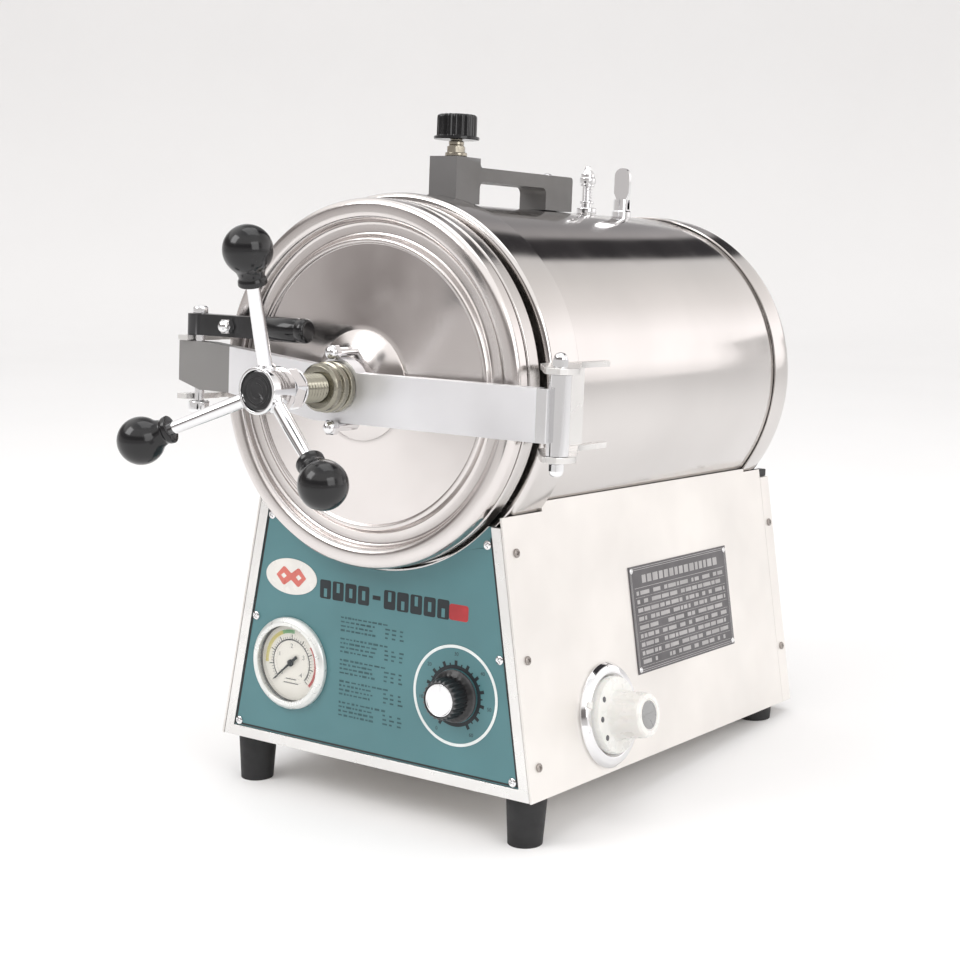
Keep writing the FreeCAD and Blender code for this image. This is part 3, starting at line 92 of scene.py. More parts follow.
def in_front(distance, x=0.0, z=AXIS_HEIGHT):
    return at(x, -distance, z, FORWARDS)


def along_chamber(y):
    return at(0, y, AXIS_HEIGHT, BACKWARDS)


def on_side(back, up, proud=0.0, rotation=RIGHT_SIDE):
    """A place on a side panel; in it X runs down the slope on the right and Y runs back."""
    sign = 1 if rotation is RIGHT_SIDE else -1
    x = BASE_HALF - up * math.sin(SLOPE) + proud * math.cos(SLOPE)
    return at(sign * x, back, up * math.cos(SLOPE) + proud * math.sin(SLOPE), rotation)


# ---------------------------------------------------------------- meshes
SHARP = math.radians(32)


def solid(bm, place=Matrix()):
    """Finishes a bmesh: outward normals, smooth faces with sharp corners, moved to its place."""
    bmesh.ops.recalc_face_normals(bm, faces=bm.faces)
    for face in bm.faces:
        face.smooth = True
    for edge in bm.edges:
        edge.smooth = len(edge.link_faces) != 2 or edge.calc_face_angle(0) < SHARP
    bm.transform(place)
    return bm


def joined(*parts):
    """One bmesh out of several; the others are freed."""
    whole = bmesh.new()
    for part in parts:
        mesh = bpy.data.meshes.new("part")
        part.to_mesh(mesh)
        part.free()
        whole.from_mesh(mesh)
        bpy.data.meshes.remove(mesh)
    return whole


def filleted(points, steps=5):
    """A closed outline of (x, y) or (x, y, radius); corners with a radius become arcs."""
    result = []
    for before, corner, after in zip(points[-1:] + points[:-1], points, points[1:] + points[:1]):
        here = Vector(corner[:2])
        if len(corner) == 2:
            result.append(here)
            continue
        to_before = Vector(before[:2]) - here
        to_after = Vector(after[:2]) - here
        half = to_before.angle(to_after) / 2
        run = min(corner[2] / math.tan(half), to_before.length * 0.49, to_after.length * 0.49)
        radius = run * math.tan(half)
        middle = (to_before.normalized() + to_after.normalized()).normalized()
        centre = here + middle * radius / math.sin(half)
        first = here + to_before.normalized() * run - centre
        last = here + to_after.normalized() * run - centre
        swing = first.angle_signed(last)
        for step in range(steps + 1):
            result.append(centre + Matrix.Rotation(-swing * step / steps, 2) @ first)
    return result


def polar(radius, angle, height=0.0):
    return radius * math.cos(angle), radius * math.sin(angle), height


def band(bm, low, high):
    """Faces between two rings; a ring of one vertex closes the band on the axis."""
    steps = max(len(low), len(high))
    for step in range(steps):
        after = (step + 1) % steps
        corners = list(dict.fromkeys([low[step % len(low)], low[after % len(low)],
                                      high[after % len(high)], high[step % len(high)]]))
        if len(corners) > 2:
            bm.faces.new(corners)


def skinned(rings, place, ends):
    """A surface through rings of points, with faces over the rings whose numbers are in ends."""
    bm = bmesh.new()
    rings = [[bm.verts.new(point) for point in ring] for ring in rings]
    for low, high in zip(rings, rings[1:]):
        band(bm, low, high)
    for end in ends:
        bm.faces.new(rings[end])
    return solid(bm, place)


def fluted(levels, steps, swell, place, ends=(0,)):
    """A moulded knob from (radius, height, depth of its flutes); swell gives the flutes' shape."""
    angles = [2 * math.pi * step / steps for step in range(steps)]
    return skinned([[polar(reach + depth * swell(angle), angle, height) for angle in angles]
                    if reach else [(0, 0, height)] for reach, height, depth in levels], place, ends)


def turned(profile, place=Matrix(), segments=96, steps=5):
    """A closed outline (radius, height), with optional rounding, swept once round Z."""
    bm = bmesh.new()
    angles = [2 * math.pi * step / segments for step in range(segments)]
    rings = []
    for point in filleted(profile, steps):
        if abs(point.x) < 1e-6:
            rings.append([bm.verts.new((0, 0, point.y))])
        else:
            rings.append([bm.verts.new(polar(point.x, angle, point.y)) for angle in angles])
    for low, high in zip(rings, rings[1:] + rings[:1]):
        band(bm, low, high)
    bmesh.ops.remove_doubles(bm, verts=bm.verts, dist=1e-5)
    return solid(bm, place)


def disc(radius, steps=40, x=0.0, y=0.0):
    return [(x + radius * math.cos(2 * math.pi * step / steps),
             y + radius * math.sin(2 * math.pi * step / steps))
            for step in range(steps)]


def plate(outline, thickness, place=Matrix(), holes=(), steps=5):
    """A flat plate from z 0 to its thickness; holes are outlines."""
    loops = [filleted(list(outline), steps)] + [[Vector(point) for point in hole] for hole in holes]
    bm = bmesh.new()
    flat = [Vector((point.x, point.y, 0)) for loop in loops for point in loop]
    low = [bm.verts.new(point) for point in flat]
    high = [bm.verts.new(point + Vector((0, 0, thickness))) for point in flat]
    for triangle in geometry.tessellate_polygon([[Vector((p.x, p.y, 0)) for p in loop] for loop in loops]):
        bm.faces.new([low[index] for index in triangle])
        bm.faces.new([high[index] for index in triangle])
    start = 0
    for loop in loops:
        for step in range(len(loop)):
            after = (step + 1) % len(loop)
            bm.faces.new([low[start + step], low[start + after], high[start + after], high[start + step]])
        start += len(loop)
    return solid(bm, place)


def block(x0, x1, y0, y1, z0, z1, corner=0.0, place=Matrix()):
    ends = [(x0, y0), (x1, y0), (x1, y1), (x0, y1)]
    outline = [(*end, corner) for end in ends] if corner else ends
    return plate(outline, z1 - z0, place @ Matrix.Translation((0, 0, z0)))


def of_node(name):
    """A bmesh of a frame node with its doubled points joined, in cabinet millimetres."""
    bm = bmesh.new()
    bm.from_mesh(frame["nodes"][name].data)
    bmesh.ops.remove_doubles(bm, verts=bm.verts, dist=2e-6)
    bmesh.ops.dissolve_degenerate(bm, edges=bm.edges, dist=2e-6)
    bm.transform(CABINET.inverted())
    return solid(bm)


def piece(name, bm, finish_name, body, stands_for=(), bevel=0.0):
    """A shown piece that rides on a body and may stand for frame nodes."""
    mesh = bpy.data.meshes.new(name)
    bm.transform(CABINET)
    bm.to_mesh(mesh)
    bm.free()
    made = bpy.data.objects.new(name, mesh)
    bpy.context.scene.collection.objects.link(made)
    mesh.materials.append(MATERIALS[finish_name])
    if bevel:
        edges = made.modifiers.new("soft edges", "BEVEL")
        edges.width = bevel / 1000
        edges.segments = 2
        edges.limit_method = "ANGLE"
        edges.angle_limit = math.radians(40)
        edges.harden_normals = True
        edges.use_clamp_overlap = True
    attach(made, body)
    if stands_for:
        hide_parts(*stands_for)
    return made


def words(text, size, place, depth=0.06):
    """Raised figures, centred on the place's origin."""
    curve = bpy.data.curves.new("figures", "FONT")
    curve.body = text
    curve.size = size
    curve.extrude = depth / 2
    curve.align_x = "CENTER"
    curve.align_y = "CENTER"
    holder = bpy.data.objects.new("figures", curve)
    mesh = bpy.data.meshes.new_from_object(holder)
    bm = bmesh.new()
    bm.from_mesh(mesh)
    bm.transform(place)
    bpy.data.objects.remove(holder)
    bpy.data.curves.remove(curve)
    bpy.data.meshes.remove(mesh)
    return bm


# ---------------------------------------------------------------- finishes
def new_material(name):
    material = bpy.data.materials.new(name)
    material.use_nodes = True
    return material, material.node_tree.nodes, material.node_tree.links


def noise(nodes, links, scale, stretch=(1, 1, 1), detail=3.0):
    """Noise over the piece's own metres, stretched along one way for a brushed look."""
    coordinates = nodes.new("ShaderNodeTexCoord")
    mapping = nodes.new("ShaderNodeMapping")
    mapping.inputs["Scale"].default_value = stretch
    texture = nodes.new("ShaderNodeTexNoise")
    texture.inputs["Scale"].default_value = scale
    texture.inputs["Detail"].default_value = detail
    links.new(coordinates.outputs["Object"], mapping.inputs["Vector"])
    links.new(mapping.outputs["Vector"], texture.inputs["Vector"])
    return texture.outputs["Fac"]


def ranged(nodes, links, source, low, high, start=0.35, end=0.65):
    level = nodes.new("ShaderNodeMapRange")
    level.inputs["From Min"].default_value = start
    level.inputs["From Max"].default_value = end
    level.inputs["To Min"].default_value = low
    level.inputs["To Max"].default_value = high
    links.new(source, level.inputs["Value"])
    return level.outputs["Result"]


def blended(nodes, links, factor, first, second):
    mix = nodes.new("ShaderNodeMix")
    mix.data_type = "RGBA"
    mix.inputs["A"].default_value = (*first, 1)
    mix.inputs["B"].default_value = (*second, 1)
    links.new(factor, mix.inputs["Factor"])
    return mix.outputs["Result"]


def finish(name, colour, roughness, metallic=0.0, spread=0.06, patch=9.0, smudge=0.04, grain=300.0,
           stretch=(1, 1, 1), height=0.02, distance=0.0004, coat=0.0, wear=None, **sockets):
    """A finish with blotches in its colour, smudges in its gloss, a fine grain and worn edges."""
    material, nodes, links = new_material(name)
    shader = nodes["Principled BSDF"]
    shader.inputs["Metallic"].default_value = metallic
    shader.inputs["Coat Weight"].default_value = coat
    for socket, value in sockets.items():
        shader.inputs[socket.replace("_", " ")].default_value = value
    dark = [channel * (1 - spread) for channel in colour]
    light = [min(1.0, channel * (1 + spread)) for channel in colour]
    patches = noise(nodes, links, patch)
    tone = blended(nodes, links, ranged(nodes, links, patches, 0, 1), dark, light)
    if wear:
        corners = nodes.new("ShaderNodeNewGeometry").outputs["Pointiness"]
        worn = nodes.new("ShaderNodeMix")
        worn.data_type = "RGBA"
        worn.inputs["B"].default_value = (*wear, 1)
        links.new(ranged(nodes, links, corners, 0, 0.6, 0.53, 0.62), worn.inputs["Factor"])
        links.new(tone, worn.inputs["A"])
        tone = worn.outputs["Result"]
    links.new(tone, shader.inputs["Base Color"])
    smudges = noise(nodes, links, patch * 3.1, detail=5.0)
    links.new(ranged(nodes, links, smudges, max(0.02, roughness - smudge), roughness + smudge),
              shader.inputs["Roughness"])
    bump = nodes.new("ShaderNodeBump")
    bump.inputs["Strength"].default_value = height
    bump.inputs["Distance"].default_value = distance
    links.new(noise(nodes, links, grain, stretch), bump.inputs["Height"])
    links.new(bump.outputs["Normal"], shader.inputs["Normal"])
    return material


ALONG_Y = (60, 1, 60)
ALONG_X = (1, 60, 60)


class AutoclaveColours(bpy.types.PropertyGroup):
    """Colours of the painted and moulded parts."""
    panel: bpy.props.FloatVectorProperty(
        name="Control panel", description="Paint of the control panel", subtype="COLOR",
        size=3, default=(0.078, 0.205, 0.225), min=0, max=1)
    steel: bpy.props.FloatVectorProperty(
        name="Steel", description="Tint of the polished and brushed steel", subtype="COLOR",
        size=3, default=(0.66, 0.635, 0.62), min=0, max=1)
    handle: bpy.props.FloatVectorProperty(
        name="Handle", description="Paint of the carrying handle", subtype="COLOR",
        size=3, default=(0.120, 0.116, 0.112), min=0, max=1)
    dial: bpy.props.FloatVectorProperty(
        name="Thermostat dial", description="Moulding of the thermostat dial", subtype="COLOR",
        size=3, default=(0.80, 0.79, 0.76), min=0, max=1)
    knobs: bpy.props.FloatVectorProperty(
        name="Knobs", description="Moulding of the ball knobs and grips", subtype="COLOR",
        size=3, default=(0.012, 0.012, 0.013), min=0, max=1)


class AutoclaveSizes(bpy.types.PropertyGroup):
    """Sizes of the shown details."""
    edge: bpy.props.FloatProperty(
        name="Edge softness", description="Rounding of sheet and cast edges, in millimetres",
        default=0.45, min=0.05, max=2)
    thread: bpy.props.FloatProperty(
        name="Thread pitch", description="Pitch of the spindle's thread, in millimetres",
        default=3.0, min=1, max=6)
    flutes: bpy.props.IntProperty(
        name="Flutes", description="Flutes round the exhaust knob", default=18, min=6, max=40)
    light: bpy.props.FloatProperty(
        name="Light", description="Strength of the studio lights", default=1.0, min=0.1, max=4)


def colours():
    return bpy.context.scene.autoclave_colours


def sizes():
    return bpy.context.scene.autoclave_sizes


MATERIALS = {}


def make_materials():
    """Fills MATERIALS with every finish of the autoclave."""
    tint = colours()
    steel = tuple(tint.steel)
    black = tuple(tint.knobs)
    MATERIALS.update({
        "mirror": finish("mirror_steel", steel, 0.12, 1.0, spread=0.03, smudge=0.03, grain=30,
                         height=0.015),
        "door": finish("door_steel", (0.70, 0.665, 0.65), 0.20, 1.0, spread=0.03, smudge=0.04, grain=25,
                       height=0.02),
        "satin": finish("satin_steel", (0.80, 0.775, 0.745), 0.42, 0.72, smudge=0.05, grain=14,
                        stretch=ALONG_Y, height=0.10, distance=0.0002),
        "satin_across": finish("satin_steel_across", (0.80, 0.79, 0.775), 0.28, 0.9, smudge=0.05, grain=14,
                               stretch=ALONG_X, height=0.08, distance=0.0002),
        "arm": finish("arm_steel", (0.88, 0.88, 0.90), 0.34, 0.85, smudge=0.05, grain=14, stretch=ALONG_X,
                      height=0.08, distance=0.0002),
        # Painted shade: a darker copy of the arm's own steel for the arm's left end, which is angled away
        # from the light.
        "arm_end_painted_shade": finish("arm_painted_shade_steel", (0.30, 0.295, 0.29), 0.42, 0.8, smudge=0.05, grain=14,
                          stretch=ALONG_X,
                          height=0.08, distance=0.0002),
        "chrome": finish("chrome_plate", (0.82, 0.82, 0.83), 0.06, 1.0, spread=0.04, smudge=0.03, grain=60,
                         height=0.02),
        "dark_chrome": finish("threaded_steel", (0.30, 0.285, 0.235), 0.20, 1.0, smudge=0.08, grain=200,
                              height=0.1),
        "panel": finish("panel_paint", tuple(tint.panel), 0.36, 0.0, spread=0.05, patch=14, smudge=0.06,
                        grain=900, height=0.03, distance=0.0001, coat=0.15),
        "print": finish("dark_print", (0.012, 0.018, 0.022), 0.5, 0.0, spread=0.2, patch=60, grain=900),
        "faded": finish("faded_print", (0.030, 0.085, 0.095), 0.5, 0.0, spread=0.2, patch=60, grain=900),
        "white_print": finish("white_print", (0.80, 0.84, 0.83), 0.45, 0.0, spread=0.05, patch=60,
                              grain=900),
        "red_print": finish("red_print", (0.42, 0.03, 0.035), 0.45, 0.0, spread=0.15, patch=60, grain=900),
        "badge": finish("badge_enamel", (0.78, 0.76, 0.72), 0.25, 0.0, spread=0.04, patch=60, coat=0.4),
        "badge_red": finish("badge_mark", (0.62, 0.16, 0.13), 0.3, 0.0, spread=0.1, patch=60),
        "black": finish("black_phenolic", black, 0.16, 0.0, spread=0.2, patch=30, smudge=0.05, grain=500,
                        height=0.03, distance=0.0001, coat=0.1,
                        Specular_IOR_Level=0.4),
        "lever": finish("black_casting", tuple(c * 1.3 for c in black), 0.32, 0.0, spread=0.3, patch=40,
                        grain=420, height=0.25, distance=0.0003, wear=(0.25, 0.25, 0.26)),
        "handle": finish("handle_paint", tuple(tint.handle), 0.42, 0.0, spread=0.08, patch=25, smudge=0.06,
                         grain=1300, height=0.22, distance=0.0002, wear=(0.22, 0.22, 0.23)),
        "rubber": finish("black_rubber", (0.014, 0.014, 0.015), 0.6, 0.0, spread=0.3, patch=50, grain=700,
                         height=0.2, distance=0.0002, wear=(0.03, 0.03, 0.03)),
        "gasket": finish("pale_gasket", (0.55, 0.52, 0.47), 0.55, 0.0, patch=50, grain=700, height=0.1),
        "dull_screw": finish("dull_screw_steel", (0.36, 0.33, 0.31), 0.42, 0.8, smudge=0.06, grain=200),
        "brass": finish("brass", (0.42, 0.385, 0.32), 0.26, 1.0, spread=0.1, patch=80, smudge=0.08,
                        grain=300,
                        height=0.05),
        "white": finish("dial_moulding", tuple(tint.dial), 0.28, 0.0, spread=0.04, patch=40, smudge=0.05,
                        grain=600, height=0.04, distance=0.0001, coat=0.2, Subsurface_Weight=0.05),
        "dot": finish("dark_dots", (0.10, 0.10, 0.11), 0.4, 0.0, patch=60),
        "grey": finish("dial_emblem", (0.30, 0.30, 0.30), 0.3, 0.0, patch=60),
        "gauge_face": finish("gauge_face", (0.80, 0.78, 0.72), 0.4, 0.0, spread=0.03, patch=50, grain=900),
        "gauge_rim": finish("gauge_rim", (0.80, 0.81, 0.79), 0.30, 0.45, spread=0.04, patch=50, grain=500),
        "amber": finish("amber_print", (0.62, 0.55, 0.20), 0.45, 0.0, patch=60),
        "green": finish("green_print", (0.20, 0.42, 0.22), 0.45, 0.0, patch=60),
        "plate": finish("plate_enamel", (0.115, 0.11, 0.115), 0.42, 0.35, spread=0.12, patch=40, grain=900,
                        height=0.06),
        "plate_lines": finish("plate_lines", (0.42, 0.41, 0.41), 0.35, 0.6, spread=0.1, patch=60,
                              grain=900),
        "chamber": finish("chamber_steel", tuple(c * 0.9 for c in steel), 0.22, 1.0, smudge=0.06, grain=30,
                          stretch=ALONG_Y, height=0.05),
        "wool": finish("mineral_wool", (0.55, 0.50, 0.36), 0.9, 0.0, spread=0.2, patch=60, grain=700,
                       height=0.8),
        "sheath": finish("heater_sheath", (0.16, 0.13, 0.12), 0.4, 0.8, spread=0.3, patch=30, grain=300),
        "insert": finish("knob_insert", (0.78, 0.78, 0.79), 0.2, 1.0, smudge=0.04, grain=120, height=0.06),
        "glass": gauge_glass(),
    })


def gauge_glass():
    material, nodes, links = new_material("gauge_glass")
    shader = nodes["Principled BSDF"]
    shader.inputs["Base Color"].default_value = (1, 1, 1, 1)
    shader.inputs["Transmission Weight"].default_value = 1.0
    shader.inputs["IOR"].default_value = 1.3
    shader.inputs["Alpha"].default_value = 0.12
    smudges = noise(nodes, links, 60)
    links.new(ranged(nodes, links, smudges, 0.02, 0.08), shader.inputs["Roughness"])
    return material


def coat_node(names, finish_name):
    """Gives frame nodes that stay shown one of the finishes."""
    for name in names:
        mesh = frame["nodes"][name].data
        mesh.materials.clear()
        mesh.materials.append(MATERIALS[finish_name])


# ---------------------------------------------------------------- cabinet
def softened(node, finish_name, body="cabinet", bevel=None):
    """A frame node's shape with rounded edges."""
    width = sizes().edge if bevel is None else bevel
    return piece(node + "_shell", of_node(node), finish_name, body, (node,), width)


def build_cabinet():
    softened("front_frame", "satin_across", bevel=0.8)
    softened("control_panel", "panel", bevel=0.2)
    softened("cradle_pads", "rubber", bevel=1.0)
    softened("power_inlet", "black", bevel=0.4)
    softened("front_feet", "rubber", bevel=1.2)
    softened("rear_feet", "rubber", bevel=1.2)
    coat_node(["base_pan", "side_panel_left", "side_panel_right", "rear_cover"], "satin")


def screw_head(place, radius=3.1, height=1.8):
    """A pan head with a cross recess."""
    radii = [0.0, 0.5, 0.9, 1.3, 1.7, 2.0, 2.5, radius - 0.25, radius, radius]
    steps = 40
    rings = []
    for level, reach in enumerate(radii):
        ring = []
        for step in range(steps if reach else 1):
            x, y, _ = polar(reach, 2 * math.pi * step / steps)
            drop = height if level == len(radii) - 1 else height * 0.45 * (reach / radius) ** 4
            if reach < 1.9 and min(abs(x), abs(y)) < 0.42:
                drop += 0.9
            ring.append((x, y, height - drop))
        rings.append(ring)
    return skinned(rings, place, (-1,))


def build_screws():
    heads = []
    for height in (12, 94, 171):
        for sign in (-1, 1):
            x = sign * (BASE_HALF - height * math.tan(SLOPE) - 1.5 / math.cos(SLOPE) - 8 - 0.3 - 4.5)
            heads.append(screw_head(at(x, 1.0, height, FORWARDS @ turn(height * 7, "Z"))))
    piece("panel_screw_heads", joined(*heads), "chrome", "cabinet", ("panel_screws",))
    heads = []
    for rotation in (RIGHT_SIDE, LEFT_SIDE):
        for back, heights in ((13, (22, 94, 166)), (BASE_DEPTH + 7.8, (46, 150))):
            for height in heights:
                place = on_side(back, height / math.cos(SLOPE), 0, rotation)
                heads.append(screw_head(place @ turn(height * 11, "Z")))
    piece("side_screw_heads", joined(*heads), "dull_screw", "cabinet", ("side_screws",))


# ---------------------------------------------------------------- drum
CASING_RADIUS = 128.0
RING_RADIUS = 133.0
CAP_RADIUS = 129.8


def build_drum():
    piece("casing_tube", turned([(126.8, 0), (128, 0, 0.4), (128, 351.7, 0.4), (126.8, 351.7)],
                                along_chamber(16.3), 160),
          "mirror", "cabinet", ("casing",))
    piece("front_collar", turned([(113.3, 0, 0.5), (RING_RADIUS, 0, 3.5), (RING_RADIUS, 36, 0.8),
                                  (128.3, 36, 0.3),
                                  (128.3, 2), (113.3, 2, 0.5)], along_chamber(14), 160),
          "mirror", "cabinet", ("front_ring",))
    piece("rear_shell", turned([(128.3, 0, 0.4), (CAP_RADIUS, 0, 0.4), (CAP_RADIUS, 34, 14), (0, 34),
                                (0, 32.5),
                                (128.3, 32.5, 12.5)], along_chamber(362), 160, 9),
          "mirror", "cabinet", ("rear_cap",))
    piece("chamber_shell", turned([(100, 0, 1.0), (128, 0, 1.5), (128, 13, 1.8), (113, 13, 0.5), (113, 23),
                                   (103, 23), (103, 343, 20), (0, 343), (0, 340), (100, 340, 17)],
                                  along_chamber(-5), 160, 8),
          "chamber", "cabinet", ("vessel",))
    coat_node(["insulation"], "wool")
    coat_node(["heater"], "sheath")
    coat_node(["tray_rack", "instrument_trays"], "chamber")


# ---------------------------------------------------------------- top of the drum
CASING_TOP = AXIS_HEIGHT + CASING_RADIUS + 0.3


HANDLE_BOLT = (0, 205, CASING_TOP + 26.1)


def build_handle():
    softened("handle", "handle", bevel=1.6)
    piece("handle_bolt_head", screw_head(at(*HANDLE_BOLT), 4.0, 2.4), "chrome", "cabinet")


def build_exhaust():
    top = CASING_TOP + 33.3
    stem = turned([(0, -90), (4, -90), (4, 0), (8, 0, 0.8), (8, 3, 0.8), (5.5, 3, 0.4), (5.5, 4.6),
                   (4.9, 4.9),
                   (5.5, 5.2), (5.5, 8.0), (4.9, 8.3), (5.5, 8.6), (5.5, 10.7, 0.3), (4, 11.7),
                   (4, 21.7), (0, 21.7)],
                  at(0, 82, top), 48)
    hexagon = plate([(*point, 0.8) for point in disc(7.2, 6)], 4.2, at(0, 82, top + 3.0))
    piece("exhaust_pipe", joined(stem, hexagon), "brass", "cabinet", ("exhaust_stem",))
    flutes = sizes().flutes
    levels = [(4.1, 0, 0), (15.9, 0, 0), (16.5, 0.4, 0), (16.5, 2.1, 0), (15.6, 2.5, 0), (13.6, 2.6, 1.1),
              (13.4, 3.4, 1.1), (13.4, 15.6, 1.1), (13.0, 17.2, 1.1), (11.6, 18.0, 1.1), (7.0, 18.0, 0),
              (6.4, 17.2, 0), (0, 17.2, 0)]
    grip = fluted(levels, flutes * 8, lambda angle: (0.5 + 0.5 * math.cos(angle * flutes)) ** 0.6,
                  at(0, 82, top + 12.0), ())
    piece("exhaust_grip", grip, "black", "exhaust_knob", ("exhaust_knob",))


def coil(radius, wire, low, high, turns, place, around=16, per_turn=28):
    """A round-wire spring with its ends closed."""
    count = int(turns * per_turn)
    rings = []
    for step in range(count + 1):
        angle = 2 * math.pi * turns * step / count
        middle = low + (high - low) * step / count
        swings = [2 * math.pi * spot / around for spot in range(around)]
        rings.append([polar(radius + wire * math.cos(swing), angle, middle + wire * math.sin(swing))
                      for swing in swings])
    return skinned(rings, place, (0, -1))


def build_valves():
    place = at(0, 266, CASING_TOP)
    split = 38 * 0.62
    body = turned([(0, -27), (4, -27), (4, 0), (8, 0, 0.6), (8, 5, 1.2), (4.4, 5), (4.4, 8), (5.6, 8, 0.4),
                   (5.6, 10, 0.4), (2.1, 10), (2.1, split - 2), (5.6, split - 2, 0.4),
                   (5.6, split, 0.4), (0, split)],
                  place, 48)
    pillars = [block(-1.0, 1.0, 4.2, 5.5, 9.5, split - 1.5, 0.3,
                     place @ turn(angle, "Z")) for angle in (0, 180)]
    spring = coil(3.6, 0.55, 10.4, split - 2.4, 5, place)
    piece("safety_valve_cage", joined(body, *pillars, spring), "chrome", "cabinet",
          ("safety_valve_body",))
    cap = turned([(0, 0), (6.4, 0, 0.6), (6.4, 4.5, 0.8), (5.6, 5.2), (5.6, 7.6, 1.2), (3.0, 11.0, 2),
                  (2.2, 14.1, 1.0),
                  (0, 14.1)], at(0, 266, CASING_TOP + split + 0.3), 48)
    piece("safety_valve_dome", cap, "chrome", "safety_valve_cap", ("safety_valve_cap",))
    softened("vent_valve_body", "chrome", bevel=0.3)
    softened("vent_lever", "chrome", "vent_lever", bevel=0.5)
    softened("vent_pin", "chrome", bevel=0.3)


# ---------------------------------------------------------------- door
DOOR_BACK = 6.5
BOSS_BASE = 21.0


def build_door():
    disc_profile = [(0, 0), (104.2, 0, 0.3), (104.2, 2), (117.8, 2), (117.8, 0, 0.3), (126.6, 0, 1.2),
                    (128, 1.4, 1.2),
                    (128, 12.2, 6.5), (114.5, 12.2, 6.0), (112.0, 4.6, 3.5), (103.4, 4.6, 3.0),
                    (100.4, 9.0, 2.2),
                    (97.6, 9.0, 1.2), (97.0, 7.0, 0.6), (40, 14.5, 30), (0, 14.5)]
    piece("door_disc", turned(disc_profile, in_front(DOOR_BACK), 192, 7), "door", "door",
          ("door",))
    piece("door_seal", turned([(104.5, 0, 0.6), (117.5, 0, 0.6), (117.5, 2.9, 0.8), (104.5, 2.9, 0.8)],
                              in_front(DOOR_BACK + 2 - 0.3 - 2.9), 128), "gasket", "door",
          ("door_gasket",))
    dome = [(0, 0), (39, 0, 0.3)]
    radius = (39 ** 2 + 11.5 ** 2) / 23
    for step in range(1, 14):
        reach = 39 - (39 - 10.6) * step / 13
        dome.append((reach, 11.5 - radius + math.sqrt(radius ** 2 - reach ** 2)))
    dome += [(10.3, 10.0), (10.3, 6.5), (0, 6.5)]
    piece("door_dome", turned(dome, in_front(BOSS_BASE), 96), "door", "door",
          ("door_boss",))
    coat_node(["door_studs"], "chrome")
    places = [at(0, -48.6, height, FORWARDS) for height in (296.3, 245.7)]
    piece("guide_nuts", joined(*[acorn_nut(place) for place in places]), "chrome", "door",
          ("stud_nuts",))


def acorn_nut(place, radius=5.6, height=5.0):
    """A domed nut with a chamfered hexagon and a washer face."""
    hexagon = plate([(*point, 0.5) for point in disc(radius, 6)], height - 0.7, place @ at(0, 0, 0.7),
                    steps=3)
    washer = turned([(0, 0), (radius * 0.86, 0, 0.2), (radius * 0.86, 0.75), (0, 0.75)], place, 40)
    dome = [(0, height - 0.3), (radius * 0.84, height - 0.3, 0.4)]
    for step in range(12):
        angle = math.pi / 2 * step / 12
        dome.append((radius * 0.8 * math.cos(angle), height + 0.6 + (radius * 0.8 - 0.6) * math.sin(angle)))
    dome.append((0, height + radius * 0.8))
    return joined(hexagon, washer, turned(dome, place, 40))


# ---------------------------------------------------------------- arm, hinge and latch
ARM_MIDDLE = 266.2
HINGE = (168.0, -33.0)
ARM_END = -97.0
KNUCKLE_START = 160.4


def build_arm():
    bar = of_node("arm")
    for x in (ARM_END, KNUCKLE_START):
        bmesh.ops.bisect_plane(bar, geom=bar.verts[:] + bar.edges[:] + bar.faces[:], plane_co=(x, 0, 0),
                               plane_no=(1, 0, 0))
    # Faces left of ARM_END get the darker steel, a painted shade on the same bar; faces past the knuckle
    # start get chrome.
    for face in bar.faces:
        middle = face.calc_center_median().x
        face.material_index = 1 if middle < ARM_END else 2 if middle > KNUCKLE_START else 0
    shell = piece("arm_shell", bar, "arm", "arm", ("arm",), 0.9)
    shell.data.materials.append(MATERIALS["arm_end_painted_shade"])
    shell.data.materials.append(MATERIALS["chrome"])
    bush = turned([(10.1, -11), (14, -11), (14, 0.3), (17.5, 0.3, 0.8), (17.5, 5.0, 0.8), (15.6, 5.6, 0.3),
                   (15.6, 7.0, 0.3), (17.2, 7.6, 0.6), (17.2, 11.6, 0.6), (15.2, 12.2, 0.3),
                   (15.2, 13.4, 0.3),
                   (16.2, 14.0, 0.5), (16.2, 18.0, 1.0), (14.4, 20, 0.8), (10.1, 20, 0.4)],
                  in_front(48), 96)
    piece("screw_sleeve", bush, "dark_chrome", "arm", ("screw_bush",))
    softened("hinge_bracket", "satin_across", bevel=0.5)
    pin = turned([(0, 0), (4, 0, 0.4), (4, 70.6, 0.4), (0, 70.6)], at(*HINGE, 230.9), 48)
    piece("hinge_rod", pin, "chrome", "cabinet", ("hinge_pin",))
    nuts = [acorn_nut(at(*HINGE, ARM_MIDDLE + 26 + 4 + 0.3)),
            acorn_nut(at(*HINGE, ARM_MIDDLE - 30.3, turn(180, "X")))]
    piece("hinge_caps", joined(*nuts), "chrome", "cabinet", ("hinge_nuts",))


LATCH = (-130.0, -42.5)
LEVER_LOW = 301.2


